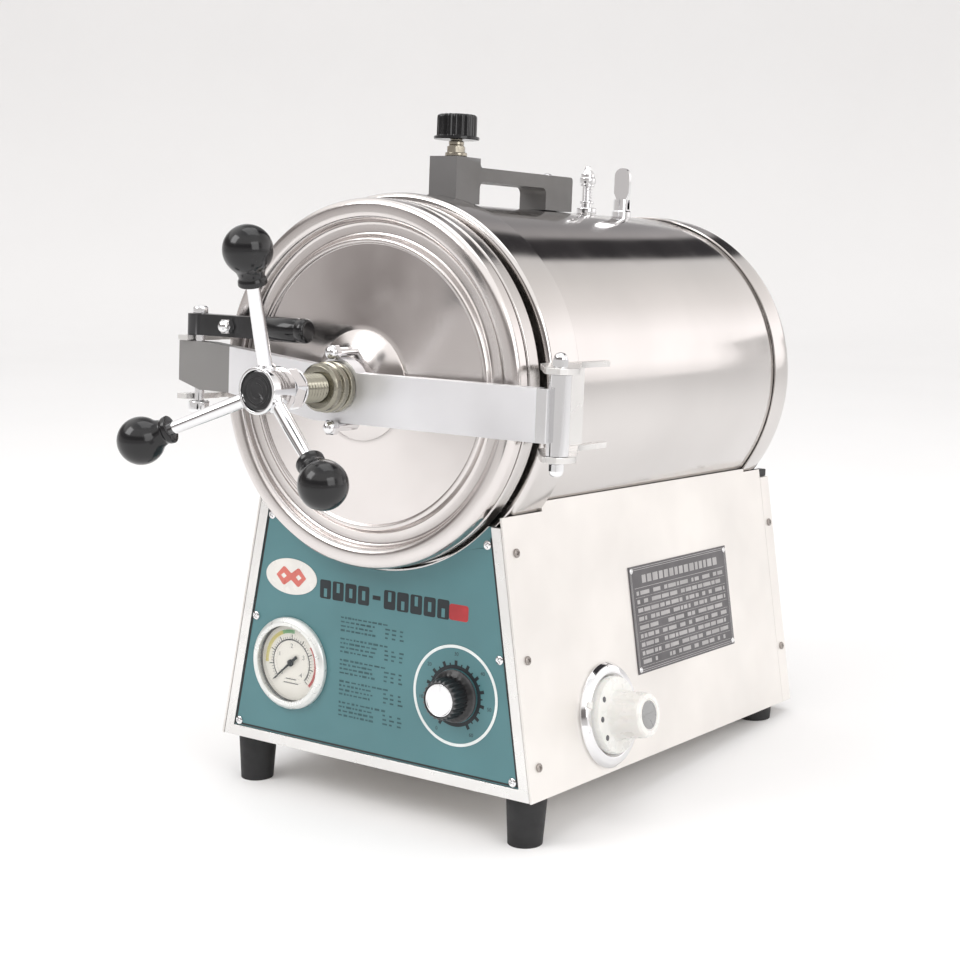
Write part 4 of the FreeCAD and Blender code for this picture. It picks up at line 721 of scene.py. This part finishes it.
def build_latch():
    softened("latch_keeper", "satin_across", bevel=0.5)
    low = 254.3
    top = LEVER_LOW + 15 + 0.3 - low
    pin = turned([(0, -8), (6.4, -8, 0.6), (7.5, -6.5, 0.8), (7.5, -1, 0.8), (6.0, 0), (3.5, 0), (3.5, top),
                  (5.5, top, 0.4), (5.5, top + 3.6, 1.0), (4.2, top + 5.2, 1.0), (0, top + 5.5)],
                 at(*LATCH, low), 64)
    piece("latch_pin_turned", pin, "chrome", "arm", ("latch_pin",))
    softened("latch_lever", "lever", "latch", bevel=1.5)
    grip = turned([(5.9, 0), (7.6, 0, 0.6), (8.6, 1.5, 1.0), (8.6, 6), (8.1, 6.8), (8.1, 8.4), (8.6, 9.2),
                   (8.6, 33), (8.1, 33.8), (8.1, 35.2), (8.6, 36), (8.6, 42, 4.2), (0, 42), (0, 32),
                   (5.9, 32)],
                  at(LATCH[0] + 58.3, LATCH[1], LEVER_LOW + 7.5, RIGHTWARDS), 64)
    piece("latch_sleeve", grip, "black", "latch", ("latch_grip",))
    nut = acorn_nut(at(LATCH[0] + 34, LATCH[1] - 7.3, LEVER_LOW + 7.5, FORWARDS))
    piece("latch_cap_nut", nut, "chrome", "latch", ("latch_nut",))


# ---------------------------------------------------------------- hand wheel
HUB_BACK = 104.0
BALL_FRONT = 148.7
WHEEL_RADIUS = 89.6


def threaded(radius, start, end, place, pitch, depth=1.1, segments=72):
    """A round bar with a screw thread along its whole length."""
    rows = int((end - start) / pitch * 10)
    rings = []
    for row in range(rows + 1):
        height = start + (end - start) * row / rows
        ring = []
        for step in range(segments):
            phase = (height / pitch - step / segments) % 1.0
            reach = radius - depth * (1 - abs(2 * phase - 1)) ** 1.3
            ring.append(polar(reach, 2 * math.pi * step / segments, height))
        rings.append(ring)
    return skinned(rings, place, (0, -1))


def build_wheel():
    wheel = in_front(HUB_BACK)
    end = 27.8
    screw = threaded(10, 0.5, HUB_BACK - end, in_front(end), sizes().thread)
    piece("spindle_screw", screw, "dark_chrome", "wheel", ("spindle",))
    lock_nut = plate([(*point, 1.0) for point in disc(14.5, 6)], 9,
                     in_front(HUB_BACK - 9.2) @ turn(12, "Z"), steps=3)
    washer = turned([(10.2, 0), (13.5, 0, 0.4), (13.5, 1.6, 0.4), (10.2, 1.6)],
                    in_front(HUB_BACK - 11.4), 64)
    piece("spindle_lock_nut", joined(lock_nut, washer), "chrome", "wheel", bevel=0.5)
    hub = turned([(7.1, 0), (12.9, 0, 0.8), (15.4, 4, 2), (15.4, 25, 1.4), (13.4, 25, 0.4),
                  (12.7, 22.5), (0, 22.5),
                  (0, 9), (7.1, 9)], wheel, 96)
    start = Vector((0, 0, 12.5))
    tilt = math.atan2(BALL_FRONT - (HUB_FRONT - 12.5), WHEEL_RADIUS)
    reach = WHEEL_RADIUS / math.cos(tilt)
    rods, collars, balls = [], [], []
    for step in range(3):
        aim = turn(84.9 + 120 * step, "Z") @ turn(90 - math.degrees(tilt), "Y")
        rod = wheel @ Matrix.Translation(start) @ aim
        rods.append(turned([(0, 8.2), (4.8, 8.2), (4.8, 40), (3.95, reach - 2), (0, reach - 2)], rod, 48))
        collars.append(turned([(0, 9), (6.4, 9), (6.6, 16.4, 1.2), (4.9, 17.8, 0.6), (0, 17.8)], rod, 48))
        knob = [(0, reach - 23), (9.6, reach - 23, 1.2), (9.2, reach - 19.6, 1.5), (8.2, reach - 17.6, 2),
                (9.3, reach - 13.8)]
        for level in range(1, 19):
            angle = math.radians(-56 + (90 + 56) * level / 18)
            knob.append((16 * math.cos(angle) if level < 18 else 0, reach + 16 * math.sin(angle)))
        knob += [(0, reach - 2.5), (4.3, reach - 2.5), (4.3, reach - 23)]
        balls.append(turned(knob[1:], rod, 72))
    piece("wheel_boss", joined(hub, *collars), "chrome", "wheel", ("wheel_hub",))
    piece("wheel_spokes", joined(*rods), "chrome", "wheel", ("wheel_rods",))
    piece("wheel_balls", joined(*balls), "black", "wheel", ("ball_knobs",))
    cap = turned([(0, 0), (12.4, 0), (12.4, 1.6, 0.5), (10.6, 1.6, 0.3), (10.0, 1.0, 0.3), (8.6, 1.0, 0.3),
                  (8.0, 2.0, 0.4), (5.2, 2.0, 0.3), (4.7, 1.3, 0.2), (0, 1.3)],
                 in_front(HUB_FRONT - 2.2), 72)
    piece("hub_insert", cap, "lever", "wheel", ("hub_cap",))


# ---------------------------------------------------------------- instruments
PANEL_FACE = 1.0
GAUGE = (-74.5, 63.4)
TIMER = (73.0, 63.5)


def on_panel(x, z, proud=0.0):
    return at(x, PANEL_FACE - proud, z, FORWARDS)


def arc_band(inner, outer, start, end, thickness, place, steps=48):
    """A flat band of a ring between two angles, in degrees from X."""
    angles = [math.radians(start + (end - start) * step / steps) for step in range(steps + 1)]
    outline = [(outer * math.cos(a), outer * math.sin(a)) for a in angles]
    outline += [(inner * math.cos(a), inner * math.sin(a)) for a in reversed(angles)]
    return plate(outline, thickness, place)


def tick(inner, outer, angle, width, thickness, place):
    return block(inner, outer, -width / 2, width / 2, 0, thickness, place=place @ turn(angle, "Z"))


def build_gauge():
    face = on_panel(*GAUGE)
    bezel = turned([(29.6, 0), (33.4, 0), (34, 0.6, 0.4), (34, 3.2, 2.4), (31.2, 6, 2.0),
                    (28.2, 6, 0.8), (27.7, 5, 0.3),
                    (29.6, 5)], face, 128)
    piece("gauge_ring", bezel, "gauge_rim", "cabinet", ("gauge_bezel",))
    piece("gauge_lens", turned([(0, 3.1), (29.3, 3.1), (29.3, 4.7, 0.2), (0, 4.7)], face, 96), "glass",
          "cabinet", ("gauge_glass",))
    coat_node(["gauge_case"], "lever")
    dial = turned([(1.8, -1.2), (28, -1.2), (28, -0.4, 0.2), (1.8, -0.4)], face, 96)
    piece("gauge_card", dial, "gauge_face", "cabinet", ("gauge_dial",))
    level = face @ at(0, 0, -0.4)
    marks = [arc_band(16.6, 17.6, -42, 222, 0.06, level)]
    for step in range(41):
        long = step % 5 == 0
        marks.append(tick(17.6, 21.0 if long else 19.2, 222 - 264 * step / 40, 0.7 if long else 0.35,
                          0.07, level))
    for step in range(5):
        angle = math.radians(222 - 66 * step)
        spot = level @ at(12.4 * math.cos(angle), 12.4 * math.sin(angle), 0)
        marks.append(words(str(step), 4.6, spot))
    marks += [block(-5, 5, -12.6, -11.9, 0, 0.06, place=level),
              block(-7, 7, -15.6, -14.9, 0, 0.06, place=level)]
    piece("gauge_marks", joined(*marks), "print", "cabinet")
    piece("gauge_amber_band", arc_band(21.8, 24.6, 112, 186, 0.06, level), "amber", "cabinet")
    piece("gauge_green_band", arc_band(21.8, 24.6, 84, 112, 0.06, level), "green", "cabinet")
    piece("gauge_red_band", arc_band(21.8, 23.8, -42, 38, 0.06, level), "red_print", "cabinet")
    rest = face @ turn(132, "Z")
    pointer = plate([(-1.3, -8, 0.6), (1.3, -8, 0.6), (0.9, 0), (0.25, 21, 0.1), (-0.25, 21, 0.1),
                     (-0.9, 0)], 0.5,
                    rest @ at(0, 0, 0.9))
    hub = turned([(0, -8), (1.4, -8), (1.4, 0.4), (2.6, 0.5, 0.2), (2.6, 1.7, 0.4), (0, 1.7)], rest, 40)
    piece("gauge_pointer", joined(pointer, hub), "print", "gauge_needle", ("gauge_needle",))


def build_timer():
    face = on_panel(*TIMER)
    base = turned([(3.9, 0), (35.5, 0), (35.5, 0.35, 0.1), (3.9, 0.35)], face, 128)
    piece("timer_card", base, "panel", "cabinet", ("timer_scale",))
    ring = turned([(33.4, 0.3), (35.5, 0.3), (35.5, 0.5, 0.1), (33.4, 0.5, 0.1)], face, 128)
    piece("timer_ring", ring, "white_print", "cabinet")
    level = face @ at(0, 0, 0.35)
    marks = [turned([(18.9, 0), (21.6, 0), (21.6, 0.12), (18.9, 0.12)], level, 96)]
    for step in range(25):
        long = step % 2 == 0
        marks.append(tick(21.2, 24.8 if long else 23.0, 240 - 300 * step / 24, 2.3 if long else 1.0,
                          0.12, level))
    for step in range(7):
        angle = math.radians(240 - 50 * step)
        marks.append(words(str(step * 10), 3.6,
                           level @ at(29.2 * math.cos(angle), 29.2 * math.sin(angle), 0)))
    piece("timer_marks", joined(*marks), "print", "cabinet")
    knob = face @ at(0, 0, 0.8)
    levels = [(3.0, -14, 0), (3.0, 0.0, 0), (17.6, 0.0, 0), (18.5, 0.8, 0), (18.4, 2.2, 0), (16.2, 4.0, 0),
              (14.2, 4.8, 0.55), (13.6, 17.0, 0.55), (13.2, 18.4, 0.55), (12.4, 19.0, 0), (11.9, 18.8, 0),
              (11.8, 17.8, 0), (0, 17.8, 0)]
    grip = fluted(levels, 144, lambda angle: math.cos(angle * 24), knob)
    piece("timer_grip", grip, "lever", "timer_knob", ("timer_knob",))
    insert = turned([(0, 17.8), (11.4, 17.8), (11.4, 18.5, 0.3), (10.6, 18.5, 0.2), (10.2, 18.2),
                     (0, 18.2)], knob, 72)
    line = block(-0.5, 0.5, 6.2, 10.0, 18.2, 18.5, 0.0, knob)
    piece("timer_insert", joined(insert, line), "insert", "timer_knob")
    coat_node(["timer_body", "thermostat_body"], "black")


def build_thermostat():
    place = on_side(108, 41)
    bezel = turned([(28.5, 0), (37.6, 0), (38, 0.5, 0.3), (38, 1.6, 0.8), (35.4, 4.6, 1.6),
                    (31.6, 5.4, 1.2),
                    (30.2, 5.4, 0.8), (28.5, 3.5, 0.6)], place, 128)
    piece("thermostat_ring", bezel, "chrome", "cabinet", ("thermostat_bezel",))
    heads = [screw_head(place @ turn(angle, "Z") @ at(33.2, 0, 4.1), 2.1, 1.2) for angle in (80, 180, 280)]
    piece("thermostat_ring_screws", joined(*heads), "chrome", "cabinet")
    tab = plate([(-2.6, 30.5, 1), (2.6, 30.5, 1), (1.8, 36.5, 0.8), (-1.8, 36.5, 0.8)], 1.4,
                place @ turn(158, "Z") @ at(0, 0, 4.8))
    piece("thermostat_mark", tab, "white", "cabinet", bevel=0.3)
    levels = [(3.0, -14, 0), (3.0, 1.3, 0), (27.0, 1.3, 0), (28.0, 2.2, 0), (28.0, 7.4, 0), (27.2, 9.2, 0),
              (25.2, 10.0, 0), (20.4, 10.2, 0), (18.6, 11.0, -0.3), (17.4, 13.0, -0.7), (16.8, 20.0, -0.8),
              (16.4, 30.0, -0.7), (16.0, 33.4, -0.4), (14.8, 34.7, 0), (13.4, 35.0, 0), (11.4, 35.0, 0),
              (11.0, 34.5, 0), (0, 34.5, 0)]
    grip = fluted(levels, 160, lambda angle: max(0.0, math.cos(angle * 8)) ** 3, place)
    piece("thermostat_grip", grip, "white", "thermostat_dial", ("thermostat_dial",))
    dots = [turned([(0, 0), (2.1, 0), (2.1, 0.25, 0.1), (0, 0.25)],
                   place @ turn(angle, "Z") @ at(23.2, 0, 9.95), 24)
            for angle in (232, 268, 304)]
    emblem = turned([(0, 34.5), (10.2, 34.5), (10.2, 34.8, 0.2), (8.8, 34.8), (8.6, 34.6), (0, 34.6)],
                    place, 64)
    bar = block(-0.8, 0.8, -7.5, 7.5, 34.6, 34.85, 0.4, place)
    piece("thermostat_dots", joined(*dots), "dot", "thermostat_dial")
    piece("thermostat_emblem", joined(emblem, bar), "grey", "thermostat_dial")


# ---------------------------------------------------------------- printed marks and a painted panel shadow
def build_prints():
    oval = [(24.0 * math.cos(2 * math.pi * step / 64),
             13.2 * math.sin(2 * math.pi * step / 64)) for step in range(64)]
    place = on_panel(-76, 127.4)
    piece("panel_badge", plate(oval, 0.5, place), "badge", "cabinet", bevel=0.15)
    leaf = [(-14, 0), (-7, 7.4, 2), (0, 2.4, 0.8), (7, 7.4, 2), (14, 0), (7, -7.4, 2), (0, -2.4, 0.8),
            (-7, -7.4, 2)]
    core = [(-4.2, 0), (-7, 2.2), (-9.8, 0), (-7, -2.2)]
    marks = plate(leaf, 0.15, place @ at(0, 0, 0.5), [core, [(-x, y) for x, y in core]])
    piece("panel_badge_mark", marks, "badge_red", "cabinet")
    slab = [(-5.0, -6.8, 1.4), (5.0, -6.8, 1.4), (5.0, 6.8, 1.4), (-5.0, 6.8, 1.4)]
    openings = [[(-1.5, -5.6), (1.5, -5.6), (1.5, 0.6), (-1.5, 0.6)],
                [(-1.5, -1.2), (1.5, -1.2), (1.5, 5.6), (-1.5, 5.6)],
                [(-1.5, -3.4), (1.5, -3.4), (1.5, 3.4), (-1.5, 3.4)]]
    bars = []
    for step, shape in enumerate((0, 1, 2, 2, None, 1, 0, 1, 2, 0)):
        place = on_panel(-44 + step * 11.6, 122.2)
        if shape is None:
            bars.append(block(-3.4, 3.4, -1.5, 1.5, 0, 0.12, place=place))
            continue
        bars.append(plate(slab, 0.12, place, [openings[shape]]))
    piece("panel_title", joined(*bars), "print", "cabinet")
    mark = plate([(-8, -5.6, 2), (8, -5.6, 2), (8, 5.6, 2), (-8, 5.6, 2)], 0.12, on_panel(73.5, 121.5))
    piece("panel_title_mark", mark, "red_print", "cabinet")
    random.seed(7)
    lines = []
    for row in range(24):
        z = 104 - row * 3.1
        if row % 5 == 4:
            continue
        x = -29.0
        while x < (0 if row % 5 else 12):
            width = random.uniform(1.4, 4.6)
            height = random.choice((0.5, 0.6, 0.75))
            lines.append(block(0, width, -height, height, 0, 0.08, place=on_panel(x, z)))
            x += width + random.uniform(0.8, 1.8)
        for x in (11, 17, 24) if row % 5 else ():
            width = random.uniform(2.0, 4.4)
            lines.append(block(0, width, -0.6, 0.6, 0, 0.08, place=on_panel(x, z)))
    piece("panel_table", joined(*lines), "faded", "cabinet")


def build_seam():
    """A painted shadow: a dark line in the rubber finish where the recessed control panel meets its bright
    rim.
    """
    low, high, width = 9.0, 176.0, 1.3

    def edge(z):
        return BASE_HALF - z * math.tan(SLOPE) - 10.3

    shadow_strips = [plate([(-edge(low), low), (edge(low), low), (edge(low), low + width),
                     (-edge(low), low + width)], 0.15,
                    on_panel(0, 0))]
    for sign in (-1, 1):
        shadow_strips.append(plate([(sign * edge(low), low), (sign * edge(high), high),
                             (sign * (edge(high) - width), high),
                             (sign * (edge(low) - width), low)], 0.15, on_panel(0, 0)))
    # Painted shadow in the recess round the panel, drawn as dark strips in the rubber finish.
    piece("panel_painted_shadow", joined(*shadow_strips), "rubber", "cabinet")


def build_rating_plate():
    place = on_side(235.5, 101.5)
    softened("rating_plate", "plate", bevel=0.2)
    marks = []

    def bar(y0, y1, x0, x1):
        """A raised bar; y runs back along the plate and x down it."""
        marks.append(block(x0, x1, y0, y1, 0, 0.06, place=place @ at(0, 0, 0.8)))

    random.seed(11)
    for inset in (1.6, 3.0):
        across, along = 40 - inset, 78 - inset
        for x in (-across, across):
            bar(-along, along, x - 0.2, x + 0.2)
        for y in (-along, along):
            bar(y - 0.2, y + 0.2, -across, across)
    y = -60.0
    while y < 62:
        width = random.uniform(4, 8)
        bar(y, y + width, -32.5, -26.5)
        y += width + 2.2
    bar(-72, 72, -23.6, -23.2)
    for row in range(9):
        x = -19.5 + row * 6.4
        bar(-72, 72, x + 3.1, x + 3.35)
        y = -70.0
        while y < 68:
            width = random.uniform(3, 14)
            if y < -44 or y > -38:
                bar(y, min(70, y + width), x - 1.5, x + 1.5)
            y += width + random.choice((1.6, 2.2, 6.0))
    piece("rating_plate_lines", joined(*marks), "plate_lines", "cabinet")
    rivets = [turned([(0, 0.8), (2.2, 0.8), (2.2, 1.1, 0.2), (1.2, 1.8, 0.5), (0, 1.8)],
                     place @ at(sx * 36.8, sy * 74.8, 0), 24)
              for sx in (-1, 1) for sy in (-1, 1)]
    piece("rating_plate_rivets", joined(*rivets), "insert", "cabinet")


# ---------------------------------------------------------------- stage
CAMERA_PLACE = (774.76, -1007.79, 361.79)
CAMERA_AZIMUTH, CAMERA_ELEVATION, CAMERA_ROLL = 34.29, 6.88, 2.16
CAMERA_LENS = 68.45


FRONT_LEVELS = [
    (-1.0, (0.50, 0.48, 0.47)), (0.0, (0.72, 0.70, 0.69)), (0.12, (0.60, 0.57, 0.56)),
                (0.22, (0.20, 0.18, 0.175)),
    (0.42, (0.24, 0.22, 0.21)), (0.52, (1.25, 1.22, 1.20)), (0.85, (1.30, 1.28, 1.27)),
                (1.0, (0.80, 0.80, 0.81)),
]
SWEEP_ANGLES = [
    (-60, (0.34, 0.32, 0.31)), (-24, (0.42, 0.40, 0.39)), (0, (0.95, 0.92, 0.91)), (8, (1.55, 1.50, 1.49)),
    (18, (1.50, 1.45, 1.44)), (28, (1.10, 1.06, 1.04)), (38, (0.90, 0.87, 0.85)),
                (46.5, (0.78, 0.76, 0.75)),
    (48.5, (0.045, 0.042, 0.045)), (58, (0.045, 0.042, 0.045)), (60.5, (0.44, 0.42, 0.42)),
                (68, (0.32, 0.31, 0.315)),
    (80, (0.42, 0.41, 0.41)), (93, (0.55, 0.54, 0.55)), (100, (1.0, 1.0, 1.0)), (180, (1.0, 1.0, 1.0)),
]
SWEEP_CENTRE = (-0.52, -0.10)


def coloured(nodes, links, source, stops):
    """A colour ramp over a value that runs from the first stop to the last."""
    low, high = stops[0][0], stops[-1][0]
    ramp = nodes.new("ShaderNodeValToRGB")
    links.new(ranged(nodes, links, source, 0, 1, low, high), ramp.inputs["Fac"])
    elements = ramp.color_ramp.elements
    while len(elements) < len(stops):
        elements.new(0.5)
    for element, (position, colour) in zip(elements, stops):
        element.position = (position - low) / (high - low)
        element.color = (*colour, 1)
    return ramp.outputs["Color"]


def calculated(nodes, links, operation, first, second):
    step = nodes.new("ShaderNodeMath")
    step.operation = operation
    for socket, value in zip(step.inputs, (first, second)):
        if isinstance(value, float):
            socket.default_value = value
        else:
            links.new(value, socket)
    return step.outputs["Value"]


def make_surroundings():
    """A studio of large cards: level bands in front, and bands that fan out behind the autoclave."""
    world = bpy.data.worlds.new("studio")
    bpy.context.scene.world = world
    world.use_nodes = True
    nodes, links = world.node_tree.nodes, world.node_tree.links
    parts = nodes.new("ShaderNodeSeparateXYZ")
    links.new(nodes.new("ShaderNodeTexCoord").outputs["Generated"], parts.inputs["Vector"])
    aside = calculated(nodes, links, "SUBTRACT", parts.outputs["X"], SWEEP_CENTRE[0])
    above = calculated(nodes, links, "SUBTRACT", parts.outputs["Z"], SWEEP_CENTRE[1])
    sweep = calculated(nodes, links, "MULTIPLY", calculated(nodes, links, "ARCTAN2", above, aside),
                       180 / math.pi)
    behind = coloured(nodes, links, sweep, SWEEP_ANGLES)
    front = coloured(nodes, links, parts.outputs["Z"], FRONT_LEVELS)
    whole = nodes.new("ShaderNodeMix")
    whole.data_type = "RGBA"
    links.new(ranged(nodes, links, parts.outputs["Y"], 0, 1, 0.2, 0.45), whole.inputs["Factor"])
    links.new(front, whole.inputs["A"])
    links.new(behind, whole.inputs["B"])
    links.new(whole.outputs["Result"], nodes["Background"].inputs["Color"])


BACKDROP_AZIMUTH = 34.6
FLOOR_FRONT, FLOOR_END, FLOOR_HALF_WIDTH = -4.0, 3.4, 6
WALL_BEND, WALL_TOP = 0.8, 1.0
# Each lamp's name, place in metres, height that it aims at over the middle, side length and watts.
LAMPS = [
    ("key", (-1.1, -1.7, 1.9), 0.25, 1.2, 20),
    ("fill", (2.2, -0.7, 1.2), 0.25, 1.4, 16),
    ("top", (0.1, 0.3, 2.4), 0.3, 1.6, 12),
]


def build_backdrop():
    """A pale floor that bends up into a low wall behind the autoclave."""
    floor = bmesh.new()
    profile = [(FLOOR_FRONT, 0), (FLOOR_END, 0)]
    for angle in range(6, 91, 6):
        bend = math.radians(angle)
        profile.append((FLOOR_END + WALL_BEND * math.sin(bend), WALL_BEND - WALL_BEND * math.cos(bend)))
    profile.append((FLOOR_END + WALL_BEND, WALL_TOP))
    azimuth = math.radians(BACKDROP_AZIMUTH)
    along = Vector((-math.sin(azimuth), math.cos(azimuth), 0))
    across = Vector((along.y, -along.x, 0))
    rows = [[floor.verts.new(along * distance + across * side + Vector((0, 0, height)))
             for side in (-FLOOR_HALF_WIDTH, FLOOR_HALF_WIDTH)] for distance, height in profile]
    for first, second in zip(rows, rows[1:]):
        floor.faces.new([first[0], first[1], second[1], second[0]])
    mesh = bpy.data.meshes.new("stage_floor")
    bmesh.ops.recalc_face_normals(floor, faces=floor.faces)
    floor.to_mesh(mesh)
    floor.free()
    mesh.polygons.foreach_set("use_smooth", [True] * len(mesh.polygons))
    ground = bpy.data.objects.new("stage_floor", mesh)
    bpy.context.scene.collection.objects.link(ground)
    mesh.materials.append(finish("stage_paper", (0.92, 0.92, 0.92), 0.75, 0.0, spread=0.005, patch=3,
                                 grain=200, height=0.01))


def build_lamps():
    for name, place, aim, size, power in LAMPS:
        data = bpy.data.lights.new(name, "AREA")
        data.shape = "RECTANGLE"
        data.size = data.size_y = size
        data.energy = power * sizes().light
        holder = bpy.data.objects.new(name, data)
        bpy.context.scene.collection.objects.link(holder)
        holder.location = place
        holder.rotation_mode = "QUATERNION"
        ray = Vector((0, 0, aim)) - Vector(place)
        holder.rotation_quaternion = ray.to_track_quat("-Z", "Y")


def build_camera():
    camera = bpy.data.cameras.new("camera")
    camera.lens = CAMERA_LENS
    camera.sensor_width = 36
    camera.clip_start = 0.05
    holder = bpy.data.objects.new("camera", camera)
    bpy.context.scene.collection.objects.link(holder)
    azimuth, elevation = math.radians(CAMERA_AZIMUTH), math.radians(CAMERA_ELEVATION)
    back = Vector((math.sin(azimuth) * math.cos(elevation), -math.cos(azimuth) * math.cos(elevation),
                   math.sin(elevation)))
    right = Vector((math.cos(azimuth), math.sin(azimuth), 0))
    up = back.cross(right)
    roll = math.radians(CAMERA_ROLL)
    right, up = right * math.cos(roll) + up * math.sin(roll), up * math.cos(roll) - right * math.sin(roll)
    axes = Matrix((right, up, back)).transposed()
    turned_axes = Matrix((RIGHT, BACK, UP)).transposed() @ axes
    holder.matrix_world = Matrix.Translation(CABINET @ Vector(CAMERA_PLACE)) @ turned_axes.to_4x4()
    bpy.context.scene.camera = holder
    bpy.context.scene.view_settings.view_transform = "Standard"


# ---------------------------------------------------------------- add-on
class AUTOCLAVE_OT_materials(bpy.types.Operator):
    """Makes every finish of the autoclave"""
    bl_idname = "autoclave.materials"
    bl_label = "Finishes"

    def execute(self, context):
        make_materials()
        return {"FINISHED"}


class AUTOCLAVE_OT_cabinet(bpy.types.Operator):
    """Shows the panels, the frame, the covers and the feet"""
    bl_idname = "autoclave.cabinet"
    bl_label = "Cabinet"

    def execute(self, context):
        build_cabinet()
        build_screws()
        return {"FINISHED"}


class AUTOCLAVE_OT_drum(bpy.types.Operator):
    """Shows the casing, its rings and the chamber"""
    bl_idname = "autoclave.drum"
    bl_label = "Drum"

    def execute(self, context):
        build_drum()
        return {"FINISHED"}


class AUTOCLAVE_OT_top(bpy.types.Operator):
    """Shows the handle, the exhaust and the valves"""
    bl_idname = "autoclave.top"
    bl_label = "Top"

    def execute(self, context):
        build_handle()
        build_exhaust()
        build_valves()
        return {"FINISHED"}


class AUTOCLAVE_OT_door(bpy.types.Operator):
    """Shows the door with its seal, dome and nuts"""
    bl_idname = "autoclave.door"
    bl_label = "Door"

    def execute(self, context):
        build_door()
        return {"FINISHED"}


class AUTOCLAVE_OT_arm(bpy.types.Operator):
    """Shows the arm, its hinge and its latch"""
    bl_idname = "autoclave.arm"
    bl_label = "Arm"

    def execute(self, context):
        build_arm()
        build_latch()
        return {"FINISHED"}


class AUTOCLAVE_OT_wheel(bpy.types.Operator):
    """Shows the spindle, the hub, the rods and the balls"""
    bl_idname = "autoclave.wheel"
    bl_label = "Hand wheel"

    def execute(self, context):
        build_wheel()
        return {"FINISHED"}


class AUTOCLAVE_OT_gauge(bpy.types.Operator):
    """Shows the pressure gauge"""
    bl_idname = "autoclave.gauge"
    bl_label = "Gauge"

    def execute(self, context):
        build_gauge()
        return {"FINISHED"}


class AUTOCLAVE_OT_timer(bpy.types.Operator):
    """Shows the timer's scale and knob"""
    bl_idname = "autoclave.timer"
    bl_label = "Timer"

    def execute(self, context):
        build_timer()
        return {"FINISHED"}


class AUTOCLAVE_OT_thermostat(bpy.types.Operator):
    """Shows the thermostat's ring and dial"""
    bl_idname = "autoclave.thermostat"
    bl_label = "Thermostat"

    def execute(self, context):
        build_thermostat()
        return {"FINISHED"}


class AUTOCLAVE_OT_prints(bpy.types.Operator):
    """Shows the painted shadow round the control panel, the marks on the panel and the rating plate"""
    bl_idname = "autoclave.prints"
    bl_label = "Prints"

    def execute(self, context):
        build_seam()
        build_prints()
        build_rating_plate()
        return {"FINISHED"}


class AUTOCLAVE_OT_stage(bpy.types.Operator):
    """Makes the floor, the lights and the camera"""
    bl_idname = "autoclave.stage"
    bl_label = "Stage"

    def execute(self, context):
        build_backdrop()
        make_surroundings()
        build_lamps()
        build_camera()
        return {"FINISHED"}


OPERATORS = [
    AUTOCLAVE_OT_materials, AUTOCLAVE_OT_cabinet, AUTOCLAVE_OT_drum, AUTOCLAVE_OT_top,
    AUTOCLAVE_OT_door, AUTOCLAVE_OT_arm, AUTOCLAVE_OT_wheel, AUTOCLAVE_OT_gauge, AUTOCLAVE_OT_timer,
    AUTOCLAVE_OT_thermostat, AUTOCLAVE_OT_prints, AUTOCLAVE_OT_stage,
]


class AUTOCLAVE_PT_panel(bpy.types.Panel):
    """Lists the autoclave's pieces, sizes and colours"""
    bl_label = "Benchtop Autoclave"
    bl_idname = "AUTOCLAVE_PT_panel"
    bl_space_type = "VIEW_3D"
    bl_region_type = "UI"
    bl_category = "Autoclave"

    def draw(self, context):
        for settings in (context.scene.autoclave_colours, context.scene.autoclave_sizes):
            for name in settings.bl_rna.properties.keys():
                if name not in ("rna_type", "name"):
                    self.layout.prop(settings, name)
        for made in OPERATORS:
            self.layout.operator(made.bl_idname)


CLASSES = [AutoclaveColours, AutoclaveSizes, *OPERATORS, AUTOCLAVE_PT_panel]


def register():
    for made in CLASSES:
        bpy.utils.register_class(made)
    bpy.types.Scene.autoclave_colours = bpy.props.PointerProperty(type=AutoclaveColours)
    bpy.types.Scene.autoclave_sizes = bpy.props.PointerProperty(type=AutoclaveSizes)


def unregister():
    del bpy.types.Scene.autoclave_colours
    del bpy.types.Scene.autoclave_sizes
    for made in reversed(CLASSES):
        bpy.utils.unregister_class(made)


def main():
    register()
    for made in OPERATORS:
        getattr(bpy.ops.autoclave, made.bl_idname.split(".")[1])()


if __name__ == "__main__":
    main()
